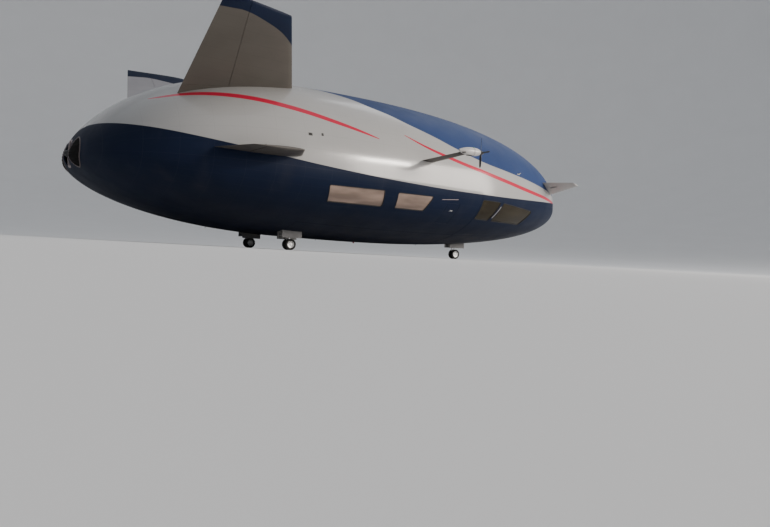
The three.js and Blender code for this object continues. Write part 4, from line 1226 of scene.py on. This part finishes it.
def make_thruster():
    z, outer, inner, fore, lip = (THRUSTER[key] for key in ("z", "outer", "inner", "fore", "lip"))
    centre = (0, 0, z)
    ring = turned([
        (fore, inner), (fore, outer), (lip + 0.10, outer), (lip + 0.04, outer - 0.004),
        (lip + 0.012, outer - 0.016), (lip, outer - 0.036), (lip, inner + 0.040),
        (lip + 0.012, inner + 0.018), (lip + 0.05, inner + 0.004), (lip + 0.10, inner),
    ], centre, "X", 96)
    pod = turned([
        (fore + 0.02, 0.0), (fore + 0.02, 0.12), (fore - 0.03, 0.165), (fore - 0.08, 0.195),
        (fore - 0.12, 0.20), (fore - 0.255, 0.20), (fore - 0.26, 0.195), (fore - 0.26, 0.0),
    ], centre, "X", 48)
    back = turned([
        (fore - 0.02, 0.0), (fore - 0.02, inner + 0.04), (fore - 0.001, inner + 0.04), (fore - 0.001, 0.0),
    ], centre, "X", 64)
    strut = slab((fore - 0.16, fore - 0.02), 0, 0.016, (z + 0.10, z + inner + 0.03), 0.012, 3)
    duct = joined([smooth(ring, 35), smooth(pod, 35), smooth(back, 35), *around(strut, 5, centre)])
    fit_out(duct, "stern_duct_shroud", "hull", "fitting_grey", "pale_lip", "dark", "grey")
    # The inside of the duct and the disc behind the fan get the near-black: painted shade in the hollow.
    for face in duct.data.polygons:
        reach = math.hypot(face.center.y, face.center.z - HUB_RIDE - z)
        at_lip = reach > inner - 0.01 and face.center.x - CENTRING < lip + 0.16
        face.material_index = 0 if at_lip else 1 if reach > 0.22 else 2
    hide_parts("stern_duct")

    plane, hub, tail, rear = THRUSTER["plane"], THRUSTER["hub"], THRUSTER["tail"], fore - 0.28
    blade = screw_blade(plane, hub, THRUSTER["fan"], (0.20, 0.27), 0.036, centre, 0.30)
    dome = turned([
        (tail, 0.0), (tail + 0.006, 0.040), (tail + 0.03, 0.088), (tail + 0.08, 0.140),
        (tail + 0.15, 0.185), (tail + 0.26, 0.218), (fore - 0.50, 0.235), (fore - 0.42, 0.232),
        (rear, 0.200), (rear, 0.0),
    ], centre, "X", 48)
    shaft = rod((fore - 0.32, 0, z), (fore - 0.19, 0, z), 0.040)
    fan = joined([smooth(dome), smooth(shaft), *around(blade, THRUSTER["blades"], centre)])
    fit_out(fan, "stern_fan_rotor", "stern_fan", "blade_black", "blade")
    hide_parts("stern_fan")


def make_stern_intakes():
    """A louvred oval intake on each quarter of the stern, beside the thruster it feeds."""
    y_mid, z_mid, half_wide, half_tall = (INTAKE[key] for key in ("y", "z", "half_wide", "half_tall"))
    steps = 64
    oval = []
    for k in range(steps):
        across, up = math.cos(2 * math.pi * k / steps), math.sin(2 * math.pi * k / steps)
        # The power draws the oval's ends out.
        across = math.copysign(abs(across) ** 1.4, across)
        oval.append((y_mid + half_wide * across, z_mid + half_tall * up))
    rim = strip_along([on_stern(y, z, 0.004) for y, z in oval], 0.032, cyclic=True)
    pair(rim, "stern_intake_rim", "hull", "fitting_grey", ["dull_lip"])
    # A near-black sheet over the oval stands for the intake's opening: painted shade.
    mesh = hull_panel((-15.996, -15.2), (120, 240), (48, 80), 0.010, depth=-0.008)
    combine(mesh, prism([place(BEHIND, y, z) for y, z in oval], (2.5, 0, 0)), "INTERSECT")
    pair(smooth(mesh), "stern_intake_mesh", "hull", "blade_black", ["dark"])
    slats = []
    for k in range(9):
        rise = -0.60 + 0.15 * k
        reach = half_wide * (1 - (rise / half_tall) ** 2) ** 0.7 * 0.97
        spots = [on_stern(y_mid + reach * (i / 8 - 1), z_mid + rise, 0.006) for i in range(17)]
        slats.append(strip_along(spots, 0.022))
    pair(joined(slats), "stern_intake_slats", "hull", "blade_black", ["dark"])


# Cabin and cockpit

def make_cabin_seats():
    floor = FLOOR_TOP + SNUG
    first, pitch, rows, near, far = (SEATS[key] for key in ("first", "pitch", "rows", "near", "far"))
    soft = []
    for y in (-far + 0.26, -near - 0.26):
        soft += [slab((first, first + 0.30), y, 0.235, (floor + 0.165, floor + 0.235), 0.022, 3),
                 slab((first - 0.045, first + 0.030), y, 0.235, (floor + 0.20, floor + 0.47), 0.024, 3),
                 slab((first - 0.042, first + 0.024), y, 0.17, (floor + 0.475, floor + 0.60), 0.024, 3)]
    hard = [block((first + 0.10, -far + 0.08, floor + 0.018),
                  (first + 0.14, -near - 0.08, floor + 0.172), 0.008)]
    for y in (-far + 0.012, -(near + far) / 2, -near - 0.012):
        hard.append(slab((first + 0.01, first + 0.26), y, 0.016, (floor + 0.30, floor + 0.325), 0.008))
        hard.append(slab((first, first + 0.03), y, 0.008, (floor + 0.18, floor + 0.31), 0.004))
    bench = [set_together(soft), set_together(hard)]
    rows_made = [[], []]
    for row in range(rows):
        step = Matrix.Translation((pitch * row, 0, 0))
        for kept, piece in zip(rows_made, bench):
            kept += [copied(piece, step), copied(piece, MIRROR @ step)]
    for piece in bench:
        bpy.data.objects.remove(piece)
    cushions, frames = rows_made
    start, end, height = first - 0.06, first + pitch * (rows - 1) + 0.30, (floor, floor + 0.022)
    for side in (-1, 1):
        for y in (side * (near + 0.11), side * (far - 0.11)):
            frames.append(slab((start, end), y, 0.02, height, 0.004))
    frames.append(slab((start, first), 0, far, height, 0.004))
    cushions = fit_out(joined(cushions), "cabin_seat_cushions", "hull", "upholstery", "upholstery")
    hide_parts("cabin_seats")
    fit_out(joined(frames), "cabin_seat_frames", "hull", "upholstery", "trim")


def make_cockpit():
    floor = FLOOR_TOP + SNUG
    seat, desk = COCKPIT["seat"], COCKPIT["desk"]
    soft = []
    hard = [slab((seat - 0.05, seat + 0.65), 0, 0.72, (floor, floor + 0.02), 0.004)]
    for y in COCKPIT["seats_y"]:
        soft += [slab((seat + 0.05, seat + 0.55), y, 0.15, (floor + 0.135, floor + 0.21), 0.028, 3),
                 slab((seat, seat + 0.12), y, 0.15, (floor + 0.205, floor + 0.62), 0.030, 3),
                 slab((seat + 0.04, seat + 0.12), y, 0.09, (floor + 0.635, floor + 0.76), 0.028, 3)]
        hard.append(slab((seat + 0.12, seat + 0.48), y, 0.10, (floor + 0.018, floor + 0.14), 0.012))
        for side in (-1, 1):
            x, stalk, arm = seat + 0.075, y + side * 0.04, y + side * 0.172
            hard += [rod((x, stalk, floor + 0.60), (x, stalk, floor + 0.66), 0.006, sides=12),
                     slab((seat + 0.10, seat + 0.42), arm, 0.020, (floor + 0.335, floor + 0.365), 0.010),
                     slab((seat + 0.12, seat + 0.16), arm, 0.010, (floor + 0.16, floor + 0.34), 0.004)]
    cushions = set_together(soft)
    fit_out(cushions, "cockpit_seat_cushions", "hull", "upholstery", "upholstery")
    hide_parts("cockpit_seats")
    fit_out(set_together(hard), "cockpit_seat_frames", "hull", "upholstery", "trim")

    console = set_together([slab((desk, desk + 0.20), 0, 0.80, (floor, floor + 0.50), 0.02),
                            slab((desk - 0.13, desk + 0.25), 0, 0.90, (floor + 0.43, floor + 0.56), 0.03, 3)])
    fit_out(console, "cockpit_desk", "hull", "blade_black", "trim")
    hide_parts("cockpit_console")
    screens = []
    lean = Matrix.Rotation(math.radians(22), 4, "Y")
    for y in COCKPIT["screens_y"]:
        screen = block((0, -0.125, -0.006), (0.006, 0.125, 0.16), 0.003)
        foot = Matrix.Translation(place(desk, y, floor + 0.552))
        screen.data.transform(foot @ lean @ Matrix.Translation(-place(0, 0, 0)))
        screens.append(screen)
    fit_out(joined(screens), "cockpit_screens", "hull", "blade_black", "screen")
    knob = [
        (0.0, 0.0), (0.0, 0.030), (0.012, 0.024), (0.02, 0.010), (0.07, 0.009), (0.08, 0.016),
        (0.13, 0.014), (0.145, 0.006), (0.147, 0.0),
    ]
    levers = [turned(knob, (desk - 0.07, y, floor + 0.558), "Z", 20) for y in (-0.70, 0.70)]
    height = (floor + 0.555, floor + 0.62)
    for k in range(4):
        levers.append(slab((desk - 0.09, desk - 0.075), -0.06 + 0.04 * k, 0.008, height, 0.004))
    fit_out(set_together(levers), "cockpit_controls", "hull", "blade_black", "blade")


# Landing gear

def make_wheels(gear):
    nose = gear["name"] == "nose"
    side_name = gear["name"].replace("main_", "")
    body = "nose_wheels" if nose else f"main_wheels_{side_name}"
    x, y, w, track = gear["x"], gear["y"], gear["width"], gear["track"]
    # Half of the wheel's and of the tyre's profile, as (share of the tyre's width, radius).
    web = [
        (0.36, 0.0), (0.36, 0.045), (0.30, 0.055), (0.27, 0.10), (0.30, 0.135), (0.38, RIM - 0.030),
        (0.42, RIM - 0.012), (0.42, RIM),
    ]
    wall = [
        (0.40, RIM + SNUG), (0.455, RIM + 0.020), (0.495, TYRE_RADIUS - 0.085),
        (0.49, TYRE_RADIUS - 0.055), (0.455, TYRE_RADIUS - 0.028), (0.40, TYRE_RADIUS - 0.010),
        (0.32, TYRE_RADIUS - 0.001),
    ]
    tread = []
    for groove in (-0.2, 0.0, 0.2):
        for step, depth in ((-0.010, 0.0), (-0.007, 0.009), (0.007, 0.009), (0.010, 0.0)):
            tread.append((groove * w + step, TYRE_RADIUS - depth))
    face = [(-a * w, r) for a, r in web] + [(a * w, r) for a, r in reversed(web)]
    casing = [(-a * w, r) for a, r in wall] + tread + [(a * w, r) for a, r in reversed(wall)]
    rims, bolts = [smooth(cross_rod(x, y, track, AXLE, 0.040, sides=32))], []
    for side in (-1, 1):
        at = (x, y + side * track, AXLE)
        rims.append(smooth(turned(face, at, "Y", 48), 30))
        tyre = smooth(turned(casing, at, "Y", 96), 35)
        place_name = "outer" if side == (1 if gear["y"] > 0 else -1) else "inner"
        node = ("nose_tyre_" if nose else f"main_tyre_{side_name}_") + place_name
        fit_out(tyre, f"{node}_casing", body, "tyre", "tyre")
        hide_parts(node)
        for out in (-1, 1):
            foot = at[1] + out * w * 0.27
            bolt = rod((x, foot, AXLE + 0.10), (x, foot + out * 0.018, AXLE + 0.10), 0.011, sides=6)
            bolts += around(bolt, 8, at, "Y")
        cap = at[1] + side * w * 0.30
        cap_end = cap + side * w * 0.12
        bolts.append(rod((x, cap, AXLE), (x, cap_end, AXLE), 0.036, 0.026, sides=32, edge=0.006))
    node = "nose_hubs" if nose else f"main_hubs_{side_name}"
    hubs = fit_out(joined(rims), f"{node}_rims", body, "wheel_metal", "alloy")
    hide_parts(node)
    fit_out(set_together(bolts), f"{node}_bolts", body, "wheel_metal", "steel")


def scissor_link(x, y, low, high, half, reach):
    """Two hinged arms behind the leg that keep the sliding tube from turning."""
    middle, root = (low + high) / 2, x - 0.05
    brace = root - (reach - 0.05) * 0.45
    arms = []
    for end in (low, high):
        for side in (-1, 1):
            knee = (x - reach, y + side * half * 0.45, middle)
            arms.append(rod((root, y + side * half, end), knee, 0.016, sides=16, edge=0.003))
        arms.append(cross_rod(brace, y, half * 0.8, end + (middle - end) * 0.45, 0.011, sides=14))
    for at, z, wide in ((x - reach, middle, 0.045), (root, low, half + 0.015), (root, high, half + 0.015)):
        arms.append(cross_rod(at, y, wide, z, 0.022, sides=20, edge=0.004))
    return arms


def make_leg(gear):
    x, y = gear["x"], gear["y"]
    nose = gear["name"] == "nose"
    node = "nose_leg" if nose else f"main_leg_{gear['name'].replace('main_', '')}"
    keel = underside(x, y)
    top, split = BAY_TOP - BAY_WALL - SNUG, keel - 0.06
    tall = top - split
    collar = tall * 0.45
    cylinder = turned([
        (0.0, 0.0), (0.0, 0.094), (0.012, 0.104), (0.075, 0.104), (0.090, 0.096), (0.095, 0.085),
        (collar, 0.085), (collar + 0.01, 0.093), (collar + 0.05, 0.093), (collar + 0.06, 0.085),
        (tall, 0.085), (tall, 0.0),
    ], (x, y, split), "Z", 40)
    fixed = [smooth(cylinder, 35),
             slab((x - 0.12, x + 0.12), y, 0.12, (top - 0.06, top), 0.012),
             slab((x + 0.42, x + 0.54), y, 0.07, (top - 0.09, top), 0.010),
             rod((x + 0.48, y, top - 0.045), (x + 0.06, y, keel + 0.16), 0.032, edge=0.004)]
    for side in (-1, 1):
        lug = (keel + 0.10, keel + 0.20)
        fixed.append(slab((x + 0.035, x + 0.13), y + side * 0.055, 0.010, lug, 0.006))
        hose = []
        for turn, z in ((0.7, split + 0.10), (0.8, split + 0.2), (0.9, split + 0.3), (0.9, top - 0.05)):
            hose.append((x + 0.095 * math.cos(side * turn), y + 0.095 * math.sin(side * turn), z))
        fixed.append(strip_along(hose, 0.008))
    tube = rod((x, y, AXLE + 0.05), (x, y, split - SNUG if nose else split + 0.04), 0.052, sides=40)
    axle_block = cross_rod(x, y, 0.06, AXLE, 0.072, sides=40, edge=0.006)
    combine(axle_block, cross_rod(x, y, 0.2, AXLE, 0.0409, sides=32))
    boss = turned([(0.055, 0.0), (0.055, 0.062), (0.095, 0.060), (0.11, 0.056), (0.11, 0.0)],
                  (x, y, AXLE), "Z", 32)
    gland = turned([(0.0, 0.0), (0.0, 0.078), (0.010, 0.090), (0.045, 0.090), (0.0546, 0.084), (0.0546, 0.0)],
                   (x, y, split - 0.055), "Z", 40)
    brake_hose = [
        (x + 0.062, y + 0.02, split - 0.05), (x + 0.085, y + 0.025, split - 0.14),
        (x + 0.080, y + 0.03, split - 0.24), (x + 0.070, y + 0.035, AXLE + 0.10),
        (x + 0.062, y + 0.040, AXLE + 0.045),
    ]
    lower = [axle_block, boss, gland, *scissor_link(x, y, AXLE + 0.075, split - 0.03, 0.045, 0.205),
             strip_along(brake_hose, 0.007)]
    leg = fit_out(set_together(fixed), f"{node}_cylinder", "hull", "gear_steel", "gear_white")
    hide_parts(node)
    name, body = ("nose_fork", "nose_fork") if nose else (node, "hull")
    links = fit_out(set_together(lower), f"{name}_links", body, "gear_steel", "steel")
    if nose:
        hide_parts("nose_fork")
    fit_out(smooth(tube), f"{name}_oleo_tube", body, "gear_steel", "chrome")


def make_bay_ribs(gear):
    """Ribs in the roof of the wheel bay, and stiffeners and hinges on its two open doors."""
    x, y = gear["x"], gear["y"]
    half, roof = bay_half(gear), BAY_TOP - BAY_WALL
    ribs = [slab((at - 0.010, at + 0.010), y, half - BAY_WALL, (roof - 0.045, roof + 0.004), 0.003)
            for at in (x - 0.50, x - 0.25, x + 0.25)]
    for side in (-1, 1):
        hinge = y + side * (half - BAY_WALL / 2)
        top = underside(x, hinge) + 0.06
        low = top - 0.06 - half
        inner, upright = hinge - side * 0.010, (low + 0.03, top - 0.075)
        for k in range(5):
            at = x - 0.52 + 0.26 * k
            ribs.append(slab((at - 0.009, at + 0.009), inner - side * 0.011, 0.011, upright, 0.004))
        for z in (low + 0.035, (low + top) / 2 - 0.02):
            level = (z - 0.009, z + 0.009)
            ribs.append(slab((x - 0.56, x + 0.56), inner - side * 0.008, 0.008, level, 0.003))
        pin, height = hinge - side * 0.012, top - 0.045
        for at in (x - 0.45, x + 0.45):
            ribs.append(rod((at - 0.05, pin, height), (at + 0.05, pin, height), 0.014, sides=16, edge=0.002))
    name = f"{gear['name']}_bay_ribs"
    fit_out(set_together(ribs), name, "hull", "fitting_grey", "gear_white")


# Small fittings on the skin

def make_fittings():
    spot = on_side(*AERIAL_AT)
    out = outward(spot)
    root, tip, chord = spot - out * 0.02, spot + out * 0.20, Vector((0.09, 0, 0))
    blade, _ = wing({"root_fore": root + chord, "root_aft": root - chord, "tip_fore": tip,
                     "tip_aft": tip - chord, "root_thick": 0.030, "tip_thick": 0.016})
    reach = Vector((0.13, 0.02, 0.03))
    foot = block(spot - reach, spot + reach, 0.010)
    foot.data.transform(about(place(*spot), out.to_track_quat("Y", "Z").to_matrix().to_4x4()))
    aerial = set_together([blade, foot])
    pair(aerial, "blade_aerial", "hull", "composite_white", ["white"])

    slats = []
    for x, z, long in VENTS:
        for k in range(4):
            height = z - 0.055 + 0.036 * k
            line = side_line((x - long / 2, height), (x + long / 2, height), 4, 0.006)
            slats.append(strip_along(line, 0.013))
    pair(joined(slats), "side_vent_slats", "hull", "composite_white", ["dark"])

    lens = [(0.0, 0.0), (0.0, 0.030), (0.014, 0.030), (0.030, 0.022), (0.038, 0.010), (0.040, 0.0)]
    crown = NACELLE["z"] + NACELLE["radius"] - 0.004
    lamp = smooth(turned(lens, (LAMP_ALONG, NACELLE["y"], crown), "Z", 28))
    for made, side, colour in ((lamp, "right", "green"), (copied(lamp, MIRROR), "left", "red")):
        fit_out(made, f"position_lamp_{side}", "hull", "glazing", f"{colour}_lamp")
    shell = [
        (-0.01, 0.0), (-0.01, 0.075), (0.012, 0.072), (0.022, 0.055), (0.050, 0.050), (0.080, 0.036),
        (0.092, 0.015), (0.094, 0.0),
    ]
    beacons = []
    for x, side in ((-2.0, 1), (1.5, -1)):
        _, up, down, middle = section(x)
        foot = middle + (up if side > 0 else -down)
        dome = turned(shell, (x, 0, foot), "Z", 36)
        if side < 0:
            dome.data.transform(about(place(x, 0, foot), Matrix.Rotation(math.pi, 4, "X")))
        beacons.append(smooth(dome))
    fit_out(joined(beacons), "strobe_beacons", "hull", "glazing", "red_lamp")

    rims = []
    for x, z, long, tall in HATCHES:
        corners = [(x, z), (x + long, z), (x + long, z - tall), (x, z - tall)]
        outline = followed(rounded_outline(corners, 0.05), 0.10)
        rims.append(strip_along([on_side(a, b, -0.002) for a, b in outline], 0.006, cyclic=True))
    pair(joined(rims), "service_hatch_rims", "hull", "hull_navy", ["rubber"])

    keel_line = [(x, 0.0, underside(x, 0.0) + 0.004) for x in (-11 + 0.5 * k for k in range(40))]
    strip = strip_along(keel_line, 0.022)
    fit_out(strip, "keel_rubbing_strip", "hull", "hull_navy", "rubber")
    masts = []
    for x, y in MASTS:
        z = underside(x, y)
        masts.append(rod((x, y, z + 0.02), (x - 0.05, y, z - 0.11), 0.018, 0.011, sides=18, edge=0.004))
    fit_out(set_together(masts), "drain_masts", "hull", "hull_navy", "grey")
    cup = [
        (15.97, 0.0), (15.97, 0.170), (16.002, 0.165), (16.012, 0.140), (16.012, 0.090), (15.999, 0.080),
        (15.999, 0.0),
    ]
    socket = smooth(turned(cup, (0, 0, section(15.99)[3]), "X", 40), 35)
    fit_out(socket, "bow_mooring_socket", "hull", "fitting_grey", "grey")


def dress_cad_nodes():
    """The CAD nodes that stay get a finish in place of their plain one."""
    chosen = {"cabin_floor": "carpet", "cabin_ceiling": "lining", "cabin_bulkhead": "lining"}
    for node in cad_nodes:
        for slot in node.material_slots:
            slot.material = finishes[chosen.get(node.name, "grey")]


finishes = make_finishes()
dress_cad_nodes()
set_up_camera()
set_up_stage()
for make in (make_envelope, make_walls, make_windows, make_doors, make_fins, make_planes, make_engines,
             make_thruster, make_stern_intakes, make_cabin_seats, make_cockpit):
    make()
for gear in GEAR:
    for make in (make_wheels, make_leg, make_bay_ribs):
        make(gear)
make_fittings()
